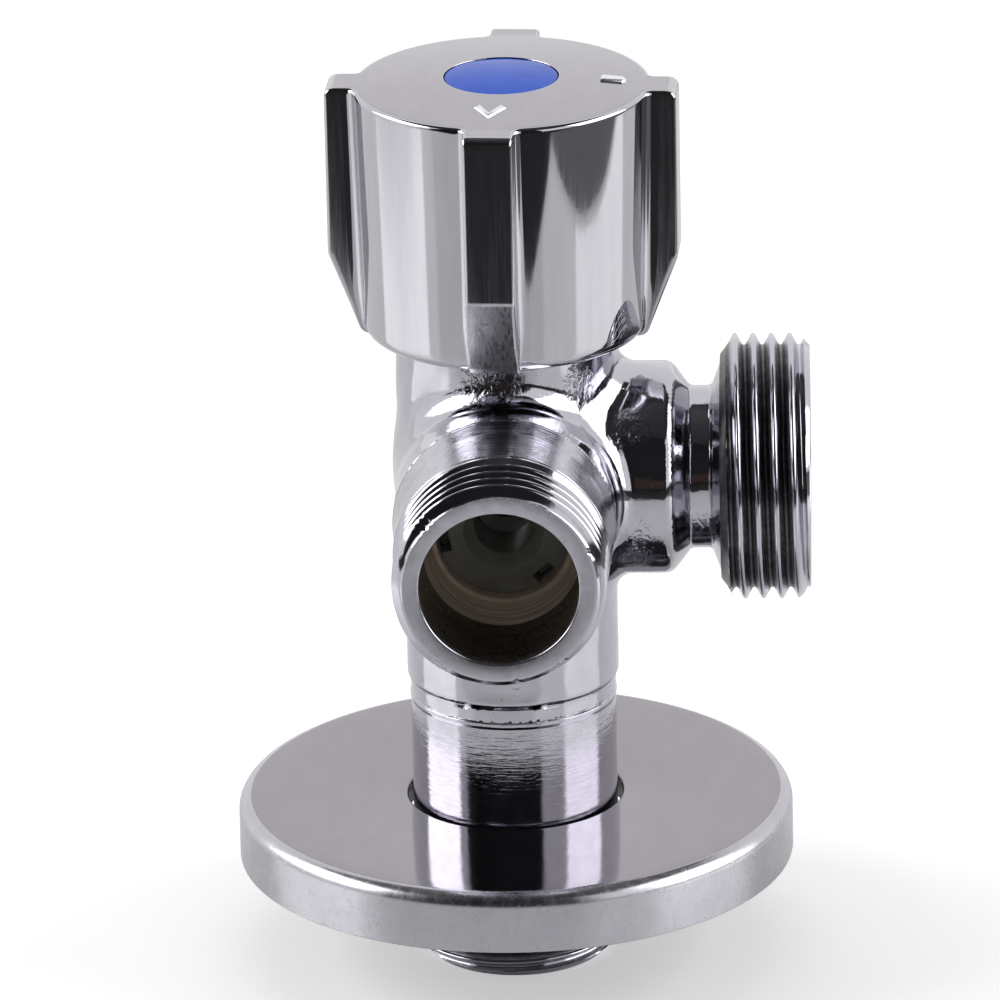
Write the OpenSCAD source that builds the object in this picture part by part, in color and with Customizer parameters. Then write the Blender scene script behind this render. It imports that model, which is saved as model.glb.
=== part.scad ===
// Double angle ball valve: one inlet below, two outlets at a right angle, one knob on top.
// Millimetres. The origin is the centre of the inlet's end face, +Z runs up the stem,
// +X is the three quarter inch outlet and -Y is the half inch outlet.

/* [Inlet and neck] */
// Height of the outlets' common axis above the inlet end
axis_h = 51.2; // [49:0.1:58]
// Major diameter of the half inch pipe thread, on the inlet and the front outlet
half_thread_d = 20.955; // [20.5:0.005:21]
// Length of the inlet thread, from the end face
inlet_thread_l = 13; // [9:0.5:16]
// Depth of the chamfer that starts a half inch thread
half_lead = 1.5; // [0.8:0.1:2]
// Diameter of the turned neck that the wall plate slides on
neck_d = 20.6; // [20:0.05:20.9]
// Height above the inlet end where the turned neck meets the casting
neck_top_h = 29.2; // [25:0.1:32]
// Width of the tool's groove at the top of the neck
groove_w = 1.3; // [0.6:0.1:2]
// Depth of that groove
groove_depth = 0.35; // [0.1:0.05:0.6]
// Diameter of the water way in the inlet
inlet_bore_d = 12.5; // [9:0.1:13]

/* [Cast barrel] */
// Diameter of the barrel below the outlets
lower_barrel_d = 21.1; // [20.8:0.1:22]
// Diameter of the barrel above the outlets
upper_barrel_d = 22.1; // [21:0.1:22.6]
// Height of the barrel's top above the outlets' axis
barrel_top = 17; // [16.5:0.1:19]
// Radius of the fillets between the barrel and the outlets
blend_r = 2; // [0.6:0.1:3]
// Radius of the rounded shoulder at the barrel's foot
shoulder_r = 0.7; // [0.2:0.1:1.2]

/* [Half inch outlet] */
// Diameter of the cast boss at the front
half_boss_d = 22; // [21.2:0.1:23]
// Reach of the cast boss from the stem's axis
half_boss_l = 16; // [14:0.1:17]
// Length of the taper from the boss down to the turned collar
half_taper_l = 2.6; // [1:0.1:3.5]
// Diameter of the turned collar behind the thread
half_collar_d = 21.3; // [21.2:0.05:21.8]
// Length of the front outlet's thread
half_thread_l = 8.4; // [6:0.1:12]
// Distance of the front outlet's end face from the stem's axis
half_outlet_l = 33.4; // [31:0.1:40]
// Diameter of the mouth bore
half_bore_d = 15.6; // [14.4:0.1:16]
// Depth of the mouth bore
half_bore_l = 10.3; // [8:0.1:11]
// Length of the cone behind the mouth bore
half_cone_l = 4.3; // [2:0.1:4.6]

/* [Three quarter inch outlet] */
// Diameter of the cast boss on the right
three_boss_d = 21.2; // [20:0.1:22]
// Reach of that boss from the stem's axis
three_boss_l = 16.2; // [15:0.1:18]
// Radius of the boss's outer edge
three_boss_edge_r = 1; // [0.4:0.1:1.6]
// Diameter of the waist between boss and thread
three_waist_d = 16.2; // [15.6:0.1:18]
// Length of the cone from the boss to the waist
three_cone_l = 1.8; // [1.1:0.1:3]
// Length of the waist's straight part
three_waist_l = 2.2; // [1:0.1:4]
// Length of the flare from the waist to the thread
three_flare_l = 1.5; // [0.8:0.1:3]
// Major diameter of the three quarter inch pipe thread
three_thread_d = 26.441; // [26:0.001:27]
// Depth of that thread's root, which sets its chamfers
three_thread_depth = 1.2; // [0.8:0.05:1.4]
// Length of the threaded head
three_thread_l = 8.3; // [7:0.1:14]
// Diameter of the bore in the threaded head
three_bore_d = 17.8; // [14:0.1:19]
// Depth of the bore in the threaded head
three_bore_l = 7.6; // [4:0.1:8]
// Length of the cone behind that bore
three_bore_cone_l = 1.5; // [0.5:0.1:3]

/* [Ball and seats] */
// Diameter of the ball
ball_d = 12.4; // [12:0.05:12.6]
// Diameter of the three ports in the ball
port_d = 6; // [4:0.1:6.2]
// Gap between the ball and its seats
seat_gap = 0.08; // [0.04:0.01:0.1]
// Diameter of the four seat rings and of the nuts that hold them
seat_d = 13.2; // [13:0.05:13.4]
// Diameter of the hole in a seat ring
seat_hole_d = 6.4; // [6.2:0.1:7]
// Distance of the closed sides' seat pockets from the ball's centre
pocket_l = 6.9; // [6.7:0.05:7.1]
// Distance of the outlet seats' outer faces from the ball's centre
outlet_seat_l = 10; // [8.5:0.1:11]

/* [Seat nuts] */
// Length of a seat nut
nut_l = 7.4; // [5:0.1:8]
// Diameter of the hole in a seat nut
nut_hole_d = 6; // [5:0.1:8]
// Diameter of the countersink at the nut's face
nut_sink_d = 8; // [7:0.1:9]
// Depth of that countersink
nut_sink_l = 1.5; // [0.5:0.1:3]
// Number of key notches in the nut's rim
nut_notches = 3; // [2:1:4]
// Width of a key notch
notch_w = 2.2; // [1:0.1:3]
// Depth of a key notch from the rim inwards
notch_depth = 1.2; // [0.5:0.1:1.6]
// Length of a key notch along the nut
notch_l = 2.4; // [1:0.1:4]

/* [Stem] */
// Diameter of the stem
stem_d = 8; // [7.6:0.05:8.2]
// Thickness of the tang that turns the ball
tang_w = 2.8; // [2:0.1:3.2]
// Height of the tang's lower end above the ball's centre
tang_foot = 4.1; // [3.9:0.05:4.6]
// Play between the tang and the slot in the ball, on each side
tang_play = 0.1; // [0.05:0.01:0.15]
// Thickness of the floor between the ball's space and the stem's seat
seat_floor = 1.6; // [1:0.1:2]
// Diameter of the stem's collar
collar_d = 11.4; // [10:0.1:11.4]
// Height of the stem's collar
collar_h = 2; // [1:0.1:2.4]
// Thickness of an O-ring
oring_w = 1.1; // [0.9:0.05:1.3]
// Height of an O-ring's groove
oring_groove_h = 1.6; // [1.5:0.05:1.8]
// Distance between the two O-rings
oring_pitch = 3.2; // [2.6:0.1:3.6]
// Number of teeth on the stem's spline
spline_teeth = 20; // [12:1:24]
// Depth of the spline's teeth
spline_depth = 0.45; // [0.3:0.05:0.6]
// Length of the spline
spline_l = 11; // [8:0.1:12]
// Height of the lower O-ring above the gland nut's lower end
oring_inset = 1.6; // [1.4:0.1:2.2]

/* [Stem packing and gland] */
// Thickness of the thrust washer under the stem's collar
thrust_h = 0.8; // [0.5:0.1:1.2]
// Thickness of the glide ring on top of the stem's collar
glide_h = 0.6; // [0.4:0.1:1]
// Diameter of the gland nut's thread
gland_thread_d = 13; // [12.4:0.1:14]
// Distance across the flats of the gland nut's hexagon
gland_flats = 14; // [13:0.1:14.4]
// Height of the gland nut's hexagon
gland_hex_h = 3.6; // [2.5:0.1:4]
// Thickness of the gasket under the gland nut's hexagon
gasket_h = 0.6; // [0.4:0.1:1]

/* [Turning stop] */
// Turn of the knob from fully open to fully shut
turn = 180; // [90:1:200]
// Angle that the stop ring's tab takes up
tab_angle = 20; // [12:1:30]
// Free angle between the tab and the stop at each end of the turn
stop_play = 1.5; // [0.5:0.1:3]
// Height of the stop on the barrel's top
stop_h = 1.6; // [1:0.1:2.2]
// Width of the stop and of the tab, across the barrel's rim
stop_w = 1.9; // [1.2:0.1:2]
// Thickness of the stop ring
ring_h = 1.2; // [0.8:0.1:1.6]

/* [Knob] */
// Height of the knob's lower edge above the outlets' axis
knob_foot = 15; // [14:0.1:16.4]
// Height of the knob's upper edge above the outlets' axis
knob_top = 40.6; // [39:0.1:46]
// Rise of the crowned top at its centre
knob_crown = 0.8; // [0.2:0.1:2]
// Diameter of the knob's barrel at the top
knob_top_d = 29.4; // [28.4:0.1:31]
// Diameter of the knob's barrel above its rounded lower edge
knob_foot_d = 28.2; // [27.4:0.1:28.4]
// Radius of the rounded lower edge
knob_foot_r = 1.3; // [0.6:0.1:1.6]
// Radius of the knob's upper edge
knob_edge_r = 0.4; // [0.2:0.05:0.8]
// Thickness of the knob's wall
knob_wall = 1.7; // [1.2:0.1:1.8]
// Thickness of the knob's top plate
knob_plate_h = 3; // [2:0.1:4]
// Thickness of the floor in the knob's hub, under the screw
hub_floor = 2; // [1.4:0.1:3]
// Outside diameter of the hub inside the knob
hub_d = 12.8; // [12:0.1:14]
// Thickness of the webs inside the knob
web_w = 1.4; // [1:0.1:2]
// Turn of the knob's ribs from the outlets, as the spline meets the stem
knob_phase = -2.2; // [-9:0.1:9]

/* [Grip ribs] */
// Number of grip ribs round the knob
rib_count = 4; // [3:1:6]
// Distance of a rib's outer face from the stem's axis
rib_reach = 17.35; // [16.4:0.05:19]
// Width of a rib
rib_w = 4.85; // [4:0.05:6]
// Height of a rib's sloping lower end
rib_slope_h = 8.3; // [4:0.1:12]
// Radius of the fillet between a rib and the barrel
rib_fillet_r = 1; // [0.4:0.1:1.6]
// Width of the core inside a rib
rib_core_w = 1.9; // [1:0.1:2.4]

/* [Knob screw and cap] */
// Diameter of the knob screw
screw_d = 4; // [3:0.5:4]
// Length of the knob screw under its head
screw_l = 9; // [6:0.5:11]
// Diameter of the knob screw's head
head_d = 7.4; // [6.6:0.1:7.6]
// Height of the knob screw's head
head_h = 2.4; // [1.8:0.1:2.6]
// Width of the slots in the knob screw's head
drive_w = 0.8; // [0.6:0.1:1.2]
// Depth of those slots
drive_depth = 1.4; // [0.8:0.1:1.8]
// Thickness of the lock washer
lock_h = 0.9; // [0.6:0.1:1.2]
// Width of the split in the lock washer
lock_split = 0.6; // [0.3:0.1:1]
// Diameter of the coloured cap
cap_d = 11.4; // [10:0.1:11.4]
// Thickness of the coloured cap at its edge
cap_h = 1.3; // [0.8:0.1:1.6]
// Rise of the coloured cap at its centre
cap_dome = 0.35; // [0.1:0.05:0.8]

/* [Wall plate] */
// Diameter of the wall plate
plate_d = 55.8; // [50:0.1:65]
// Height of the wall plate
plate_h = 6.2; // [5:0.1:9]
// Height of the wall plate's rim above the inlet end
plate_rest = 10.5; // [8:0.1:12]
// Thickness of the plate's sheet
sheet = 0.7; // [0.4:0.05:1]
// Radius of the plate's outer edge
plate_edge_r = 1.3; // [1.1:0.1:3]
// Diameter of the plate's hole at its rolled in edge
plate_hole_d = 21.7; // [21.6:0.05:21.9]
// Radius of the rolled in edge of the hole
plate_lip_r = 1.1; // [1.1:0.1:2]

/* [Clearances] */
// Radial gap of a part that turns in a bore
running_gap = 0.05; // [0.02:0.01:0.08]
// Radial gap of a part that is screwed or pressed in
fit_gap = 0.05; // [0.03:0.01:0.08]
// Gap between flat faces that turn on each other
face_gap = 0.05; // [0.02:0.01:0.08]
// Gap between parts that stay clear of each other
free_gap = 0.2; // [0.15:0.01:0.3]

/* [Hidden] */
$fn = 96;

half_r = half_thread_d / 2;
neck_r = neck_d / 2;
lower_r = lower_barrel_d / 2;
upper_r = upper_barrel_d / 2;
ball_r = ball_d / 2;
stem_r = stem_d / 2;
hole_r = seat_d / 2 + fit_gap;

// Heights above the ball's centre, from the ball up to the cap
floor_top = hole_r + seat_floor;
collar_foot = floor_top + thrust_h + face_gap;
collar_top = collar_foot + collar_h;
gland_foot = collar_top + face_gap + glide_h;
hex_foot = barrel_top + gasket_h;
hex_top = hex_foot + gland_hex_h;
ring_foot = hex_top + free_gap;
ring_top = ring_foot + ring_h;
hub_foot = ring_top + 2 * free_gap;
spline_top = ring_foot + spline_l;
web_foot = spline_top + free_gap;
cap_seat = knob_top + knob_crown - cap_h - cap_dome;
head_foot = web_foot + hub_floor + lock_h;
plug_foot = head_foot + head_h + free_gap;

collar_hole_r = collar_d / 2 + 0.3;
gland_hole_r = gland_thread_d / 2 + fit_gap;
spline_r = stem_r - 0.1;
oring_r = stem_r - oring_w / 2 - 0.02;
oring_first = gland_foot + oring_inset;
stop_r = upper_r - 0.1;
tab_r = stop_r - 0.1;

// Direction of the stop ring's tab when both outlets are open
stop_start = 45;

function arc(c, r, a0, a1, n = 8) =
    [for (i = [0:n]) c + r * [cos(a0 + (a1 - a0) * i / n), sin(a0 + (a1 - a0) * i / n)]];

function unit(v) = v / norm(v);

// Places a shape that points along +Z on one of the ball's four sides
module towards_front() translate([0, 0, axis_h]) rotate([90, 0, 0]) children();
module towards_right() translate([0, 0, axis_h]) rotate([0, 90, 0]) children();
module towards_back() translate([0, 0, axis_h]) rotate([-90, 0, 0]) children();
module towards_left() translate([0, 0, axis_h]) rotate([0, -90, 0]) children();

// Places a shape whose heights are counted from the ball's centre
module above_ball(z = 0) translate([0, 0, axis_h + z]) children();

module ring(outer_r, inner_r, h) difference() {
    cylinder(r = outer_r, h = h);
    translate([0, 0, -1]) cylinder(r = inner_r, h = h + 2);
}

// One section of the fillet between two crossing barrels, at angle t round the second one.
// The rolling ball that makes the fillet touches the barrels at the ends of the arc.
function blend_section(r1, r2, rf, t) =
    let (
        cy = (r2 + rf) * sin(t),
        cz = (r2 + rf) * cos(t),
        cx = sqrt(pow(r1 + rf, 2) - cy * cy),
        c = [cx, cy, cz],
        d1 = [-cx, -cy, 0] / (r1 + rf),
        d2 = [0, -cy, -cz] / (r2 + rf),
        sunk = rf + 0.06,
        deep = rf + 0.9
    )
    concat(
        [c + d1 * deep, c + d1 * sunk],
        [for (i = [1:5]) c + rf * unit(d1 * (6 - i) + d2 * i)],
        [c + d2 * sunk, c + d2 * deep, c + (d1 + d2) * deep * 0.8]
    );

// Fillet between a barrel of radius r1 along Z and one of radius r2 along +X, on its upper side
module blend(r1, r2, rf) {
    reach = 68;
    steps = 16;
    sections = [for (i = [0:steps]) blend_section(r1, r2, rf, -reach + 2 * reach * i / steps)];
    m = len(sections[0]);
    sides = [
        for (i = [0:steps - 1]) for (j = [0:m - 1]) for (half = [0, 1])
            let (a = i * m + j, b = i * m + (j + 1) % m, c = a + m, d = b + m)
            half == 0 ? [a, d, b] : [a, c, d]
    ];
    first = [for (j = [0:m - 1]) j];
    last = [for (j = [m - 1:-1:0]) steps * m + j];
    polyhedron(points = [for (s = sections) each s], faces = concat(sides, [first, last]), convexity = 4);
}

module body_barrel() rotate_extrude() polygon(concat(
    [
        [0, 0],
        [half_r - half_lead, 0],
        [half_r, half_lead],
        [half_r, inlet_thread_l],
        [neck_r, inlet_thread_l + 0.4],
        [neck_r, neck_top_h - groove_w - 0.6],
        [neck_r - groove_depth, neck_top_h - groove_w - 0.3],
        [neck_r - groove_depth, neck_top_h - 0.3]
    ],
    arc([lower_r - shoulder_r, neck_top_h + shoulder_r], shoulder_r, -60, 0, 4),
    [
        [lower_r, axis_h - 4],
        [upper_r, axis_h + 4],
        [upper_r, axis_h + barrel_top - 0.5],
        [upper_r - 0.5, axis_h + barrel_top],
        [0, axis_h + barrel_top]
    ]
));

module half_outlet_shape() rotate_extrude() polygon([
    [0, 0],
    [half_boss_d / 2, 0],
    [half_boss_d / 2, half_boss_l],
    [half_collar_d / 2, half_boss_l + half_taper_l],
    [half_collar_d / 2, half_outlet_l - half_thread_l - 0.2],
    [half_r, half_outlet_l - half_thread_l],
    [half_r, half_outlet_l - half_lead * 0.6],
    [half_r - half_lead * 0.6, half_outlet_l],
    [0, half_outlet_l]
]);

module three_quarter_outlet_shape() {
    boss_r = three_boss_d / 2;
    waist_r = three_waist_d / 2;
    top_r = three_thread_d / 2;
    waist_z = three_boss_l + three_cone_l;
    flare_z = waist_z + three_waist_l;
    thread_z = flare_z + three_flare_l;
    end_z = thread_z + three_thread_l;
    rotate_extrude() polygon(concat(
        [[0, 0], [boss_r, 0]],
        arc([boss_r - three_boss_edge_r, three_boss_l - three_boss_edge_r], three_boss_edge_r, 0, 60, 5),
        [
            [waist_r, waist_z],
            [waist_r, flare_z],
            [top_r - three_thread_depth, thread_z],
            [top_r, thread_z + three_thread_depth * 0.5],
            [top_r, end_z - three_thread_depth],
            [top_r - three_thread_depth, end_z],
            [0, end_z]
        ]
    ));
}

function three_outlet_l() =
    three_boss_l + three_cone_l + three_waist_l + three_flare_l + three_thread_l;

// The half of the barrel's rim that the stop ring's tab runs against
module stop_arc() {
    sweep = 360 - turn - tab_angle - 2 * stop_play;
    rotate([0, 0, tab_angle / 2 + stop_play + stop_start])
        rotate_extrude(angle = sweep)
            translate([stop_r - stop_w, 0]) square([stop_w, stop_h + 1]);
}

module outer_form() {
    body_barrel();
    towards_front() half_outlet_shape();
    towards_right() three_quarter_outlet_shape();
    above_ball(barrel_top - 1) stop_arc();
    above_ball() for (side = [0, 1]) mirror([0, 0, side]) {
        barrel_r = side == 0 ? upper_r : lower_r;
        blend(barrel_r, three_boss_d / 2, blend_r);
        rotate([0, 0, -90]) blend(barrel_r, half_boss_d / 2, blend_r);
    }
    above_ball() rotate([90, 0, 0]) blend(half_boss_d / 2, three_boss_d / 2, blend_r);
}

module water_ways() {
    three_l = three_outlet_l();
    translate([0, 0, -1]) cylinder(d = inlet_bore_d, h = axis_h + 1);
    translate([0, 0, -0.01]) cylinder(d1 = inlet_bore_d + 1.2, d2 = inlet_bore_d, h = 0.6);
    towards_front() {
        translate([0, 0, -pocket_l])
            cylinder(r = hole_r, h = pocket_l + half_outlet_l - half_bore_l);
        translate([0, 0, half_outlet_l - half_bore_l - half_cone_l])
            cylinder(d1 = seat_d + 0.8, d2 = half_bore_d, h = half_cone_l);
        translate([0, 0, half_outlet_l - half_bore_l]) cylinder(d = half_bore_d, h = half_bore_l + 1);
    }
    towards_right() {
        translate([0, 0, -pocket_l]) cylinder(r = hole_r, h = pocket_l + three_l - three_bore_l);
        translate([0, 0, three_l - three_bore_l - three_bore_cone_l])
            cylinder(r1 = hole_r, d2 = three_bore_d, h = three_bore_cone_l);
        translate([0, 0, three_l - three_bore_l]) cylinder(d = three_bore_d, h = three_bore_l + 1);
    }
}

module stem_ways() above_ball() {
    cylinder(r = stem_r + running_gap, h = floor_top + 1);
    translate([0, 0, floor_top]) cylinder(r = collar_hole_r, h = barrel_top);
    translate([0, 0, gland_foot]) cylinder(r = gland_hole_r, h = barrel_top);
}

module valve_body() color("silver") difference() {
    outer_form();
    water_ways();
    stem_ways();
}

// Ball with a port below, a port to each outlet and the tang's slot on top
module ball() color("gainsboro") above_ball() difference() {
    sphere(r = ball_r);
    translate([0, 0, -ball_d]) cylinder(d = port_d, h = ball_d);
    rotate([90, 0, 0]) cylinder(d = port_d, h = ball_d);
    rotate([0, 90, 0]) cylinder(d = port_d, h = ball_d);
    translate([-tang_w / 2 - tang_play, -ball_d, tang_foot - 0.2])
        cube([tang_w + 2 * tang_play, 2 * ball_d, ball_d]);
}

// Seat ring along +Z: a cone towards the ball keeps it clear of the rings beside it
module seat(outer_z) color("white") difference() {
    rotate_extrude() polygon([
        [seat_hole_d / 2, seat_hole_d / 2 + 0.1],
        [seat_d / 2, seat_d / 2 + 0.1],
        [seat_d / 2, outer_z],
        [seat_hole_d / 2, outer_z]
    ]);
    sphere(r = ball_r + seat_gap);
}

module seat_front() towards_front() seat(outlet_seat_l);
module seat_right() towards_right() seat(outlet_seat_l);
module seat_back() towards_back() seat(pocket_l);
module seat_left() towards_left() seat(pocket_l);

// Plastic nut that holds an outlet's seat, with notches for a pin key
module seat_nut() color("whitesmoke") translate([0, 0, outlet_seat_l]) difference() {
    ring(seat_d / 2, nut_hole_d / 2, nut_l);
    translate([0, 0, nut_l - nut_sink_l])
        cylinder(d1 = nut_hole_d, d2 = nut_sink_d, h = nut_sink_l + 0.01);
    for (i = [0:nut_notches - 1]) rotate([0, 0, 71 + i * 360 / nut_notches])
        translate([seat_d / 2 - notch_depth, -notch_w / 2, nut_l - notch_l])
            cube([notch_depth + 1, notch_w, notch_l + 1]);
}

module seat_nut_front() towards_front() seat_nut();
module seat_nut_right() towards_right() seat_nut();

module thrust_washer() color("white") above_ball(floor_top)
    ring(collar_hole_r - fit_gap, stem_r + 0.3, thrust_h);

module glide_ring() color("white") above_ball(gland_foot - glide_h)
    ring(collar_hole_r - fit_gap, stem_r + 0.3, glide_h);

// Toothed outline of the spline; gap widens it for the socket
module spline_outline(gap = 0) {
    tip = spline_r + gap;
    root = spline_r - spline_depth + gap;
    pitch = 360 / spline_teeth;
    polygon([
        for (i = [0:spline_teeth - 1]) for (p = [[root, 0.1], [tip, 0.35], [tip, 0.65], [root, 0.9]])
            p[0] * [cos((i + p[1]) * pitch), sin((i + p[1]) * pitch)]
    ]);
}

module oring_groove(z) translate([0, 0, z - oring_groove_h / 2])
    ring(stem_r + 1, oring_r - oring_w / 2 - 0.02, oring_groove_h);

module stem() color("goldenrod") above_ball() difference() {
    union() {
        intersection() {
            translate([0, 0, tang_foot]) cylinder(r = stem_r - 0.2, h = floor_top);
            translate([-tang_w / 2, -stem_d, 0]) cube([tang_w, 2 * stem_d, floor_top]);
        }
        translate([0, 0, ball_r + 0.2]) cylinder(r = stem_r, h = ring_foot - ball_r - 0.2);
        translate([0, 0, collar_foot]) cylinder(d = collar_d, h = collar_h);
        translate([0, 0, ring_foot - 0.1]) linear_extrude(spline_l + 0.1) spline_outline();
    }
    oring_groove(oring_first);
    oring_groove(oring_first + oring_pitch);
    translate([0, 0, spline_top - screw_l - 1]) cylinder(d = screw_d + 2 * fit_gap, h = screw_l + 2);
}

module stem_oring(z) color("dimgray") above_ball(z)
    rotate_extrude() translate([oring_r, 0]) circle(d = oring_w, $fn = 32);

module stem_o_ring_lower() stem_oring(oring_first);
module stem_o_ring_upper() stem_oring(oring_first + oring_pitch);

module gland_gasket() color("firebrick") above_ball(barrel_top)
    ring(gland_flats / 2 + 1.2, gland_hole_r, gasket_h);

module gland_nut() color("darkgoldenrod") above_ball() difference() {
    union() {
        translate([0, 0, gland_foot]) cylinder(d = gland_thread_d, h = hex_foot - gland_foot + 0.1);
        translate([0, 0, hex_foot]) intersection() {
            cylinder(d = gland_flats / cos(30), h = gland_hex_h, $fn = 6);
            rotate_extrude() polygon([
                [0, 0],
                [gland_flats / 2 + 1.1, 0],
                [gland_flats / 2 + 1.1, gland_hex_h - 0.7],
                [gland_flats / 2 - 0.1, gland_hex_h],
                [0, gland_hex_h]
            ]);
        }
    }
    translate([0, 0, gland_foot - 1]) cylinder(r = stem_r + running_gap, h = hex_top);
}

// Ring on the spline whose tab hangs down beside the stop on the barrel
module stop_ring() color("lightsteelblue") above_ball() difference() {
    union() {
        translate([0, 0, ring_foot]) cylinder(r = stem_r + 3, h = ring_h);
        rotate([0, 0, stop_start - tab_angle / 2]) {
            translate([0, 0, ring_foot]) rotate_extrude(angle = tab_angle) square([tab_r, ring_h]);
            translate([0, 0, barrel_top + 0.3]) rotate_extrude(angle = tab_angle)
                translate([tab_r - stop_w + 0.2, 0]) square([stop_w - 0.2, ring_foot - barrel_top]);
        }
    }
    translate([0, 0, ring_foot - 1]) linear_extrude(ring_h + 2) spline_outline(fit_gap);
}

// Half profile of the knob's crowned outside, without the ribs
function knob_outline() =
    let (
        top_r = knob_top_d / 2,
        foot_r = knob_foot_d / 2,
        sphere_r = (top_r * top_r + knob_crown * knob_crown) / (2 * knob_crown),
        span = asin(top_r / sphere_r)
    )
    concat(
        [[0, knob_foot]],
        arc([foot_r - knob_foot_r, knob_foot + knob_foot_r], knob_foot_r, -90, 0, 6),
        arc([top_r - knob_edge_r, knob_top - knob_edge_r], knob_edge_r, 0, 70, 4),
        arc([0, knob_top + knob_crown - sphere_r], sphere_r, 90 - span * 0.95, 90, 6)
    );

module rib_plan() {
    fillet_y = rib_w / 2 + rib_fillet_r;
    barrel_r = knob_top_d / 2;
    fillet_x = sqrt(pow(barrel_r + rib_fillet_r, 2) - fillet_y * fillet_y);
    edge_r = 0.35;
    difference() {
        union() {
            translate([0, -rib_w / 2]) square([rib_reach - edge_r, rib_w]);
            translate([0, -rib_w / 2 + edge_r]) square([rib_reach, rib_w - 2 * edge_r]);
            for (side = [-1, 1]) translate([rib_reach - edge_r, side * (rib_w / 2 - edge_r)]) circle(edge_r);
            translate([barrel_r - 4, -fillet_y]) square([fillet_x - barrel_r + 4, 2 * fillet_y]);
        }
        for (side = [-1, 1]) translate([fillet_x, side * fillet_y]) circle(rib_fillet_r);
    }
}

// Side view of a rib: upright face, slope below and rounded upper corner
module rib_side(inset = 0) {
    inner = knob_foot_d / 2 - 4;
    foot = knob_foot_d / 2 - inset;
    reach = rib_reach - inset;
    corner_r = max(0.9 - inset, 0.2);
    top = knob_top - inset;
    polygon(concat(
        [[inner, knob_foot + inset], [foot, knob_foot + inset], [reach, knob_foot + rib_slope_h]],
        arc([reach - corner_r, top - corner_r], corner_r, 0, 90, 6),
        [[inner, top + (inset == 0 ? 0.15 : 0)]]
    ));
}

module rib() intersection() {
    translate([0, 0, knob_foot - 1]) linear_extrude(knob_top) rib_plan();
    rotate([90, 0, 0]) translate([0, 0, -rib_w]) linear_extrude(2 * rib_w) rib_side();
}

module rib_core() rotate([90, 0, 0]) translate([0, 0, -rib_core_w / 2])
    linear_extrude(rib_core_w) rib_side(knob_wall);

// Space inside the knob, round the hub
module knob_hollow() {
    plate_foot = knob_top - knob_plate_h;
    difference() {
        rotate_extrude() polygon([
            [0, knob_foot - 1],
            [knob_foot_d / 2 - knob_wall, knob_foot - 1],
            [knob_foot_d / 2 - knob_wall, knob_foot + 2],
            [knob_top_d / 2 - knob_wall, plate_foot - 1],
            [knob_top_d / 2 - knob_wall - 1, plate_foot],
            [0, plate_foot]
        ]);
        translate([0, 0, hub_foot]) cylinder(d = hub_d, h = knob_top);
        for (i = [0:rib_count - 1]) rotate([0, 0, knob_phase + (i + 0.5) * 360 / rib_count])
            translate([hub_d / 2 - 1, -web_w / 2, ring_top + 2]) cube([knob_top_d / 2, web_w, knob_top]);
    }
    for (i = [0:rib_count - 1]) rotate([0, 0, knob_phase + i * 360 / rib_count]) rib_core();
}

module knob() color("lightgray") above_ball() difference() {
    union() {
        rotate_extrude() polygon(knob_outline());
        for (i = [0:rib_count - 1]) rotate([0, 0, knob_phase + i * 360 / rib_count]) rib();
    }
    knob_hollow();
    translate([0, 0, hub_foot - 1]) linear_extrude(web_foot - hub_foot + 1) spline_outline(fit_gap);
    translate([0, 0, web_foot - 1]) cylinder(d = screw_d + 0.3, h = knob_top);
    translate([0, 0, web_foot + hub_floor]) cylinder(d = head_d + 1, h = knob_top);
    translate([0, 0, cap_seat]) cylinder(r = cap_d / 2 + fit_gap, h = knob_top);
}

// Split spring washer under the screw's head
module lock_washer() color("slategray") above_ball(web_foot + hub_floor) difference() {
    ring(head_d / 2 - 0.1, screw_d / 2 + 0.15, lock_h);
    translate([0, 0, lock_h / 2]) rotate([25, 0, 0])
        translate([0, -lock_split / 2, -2 * lock_h]) cube([head_d, lock_split, 4 * lock_h]);
}

module knob_screw() color("slategray") above_ball(head_foot) difference() {
    union() {
        translate([0, 0, -screw_l]) cylinder(d = screw_d, h = screw_l + 0.1);
        rotate_extrude() polygon(concat(
            [[0, 0], [head_d / 2, 0]],
            arc([head_d / 2 - 0.9, head_h - 0.9], 0.9, 0, 90, 5),
            [[0, head_h]]
        ));
    }
    for (a = [0, 90]) rotate([0, 0, a]) translate([-head_d * 0.3, -drive_w / 2, head_h - drive_depth])
        cube([head_d * 0.6, drive_w, 2 * drive_depth]);
}

// Coloured cap: a low dome with a hollow plug that presses into the knob
module knob_cap() color("royalblue") above_ball(cap_seat) {
    top_r = cap_d / 2;
    plug_r = head_d / 2 + 0.5 - fit_gap;
    sphere_r = (top_r * top_r + cap_dome * cap_dome) / (2 * cap_dome);
    rotate_extrude() polygon(concat(
        [
            [0, 0],
            [plug_r - 0.9, 0],
            [plug_r - 0.9, plug_foot - cap_seat],
            [plug_r, plug_foot - cap_seat],
            [plug_r, 0],
            [top_r, 0],
            [top_r, cap_h]
        ],
        arc([0, cap_h + cap_dome - sphere_r], sphere_r, 90 - asin(top_r / sphere_r) * 0.9, 90, 5)
    ));
}

// Thin pressed plate that covers the hole in the wall, with rolled edges
module wall_plate() color("silver") translate([0, 0, plate_rest]) {
    rim_r = plate_d / 2;
    lip_z = plate_h - plate_lip_r;
    edge_z = plate_h - plate_edge_r;
    lip_x = plate_hole_d / 2 + plate_lip_r;
    rotate_extrude() polygon(concat(
        [[rim_r - sheet, 0], [rim_r, 0]],
        arc([rim_r - plate_edge_r, edge_z], plate_edge_r, 0, 90, 8),
        arc([lip_x, lip_z], plate_lip_r, 90, 180, 8),
        arc([lip_x, lip_z], plate_lip_r - sheet, 180, 90, 8),
        arc([rim_r - plate_edge_r, edge_z], plate_edge_r - sheet, 90, 0, 8)
    ));
}

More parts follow.
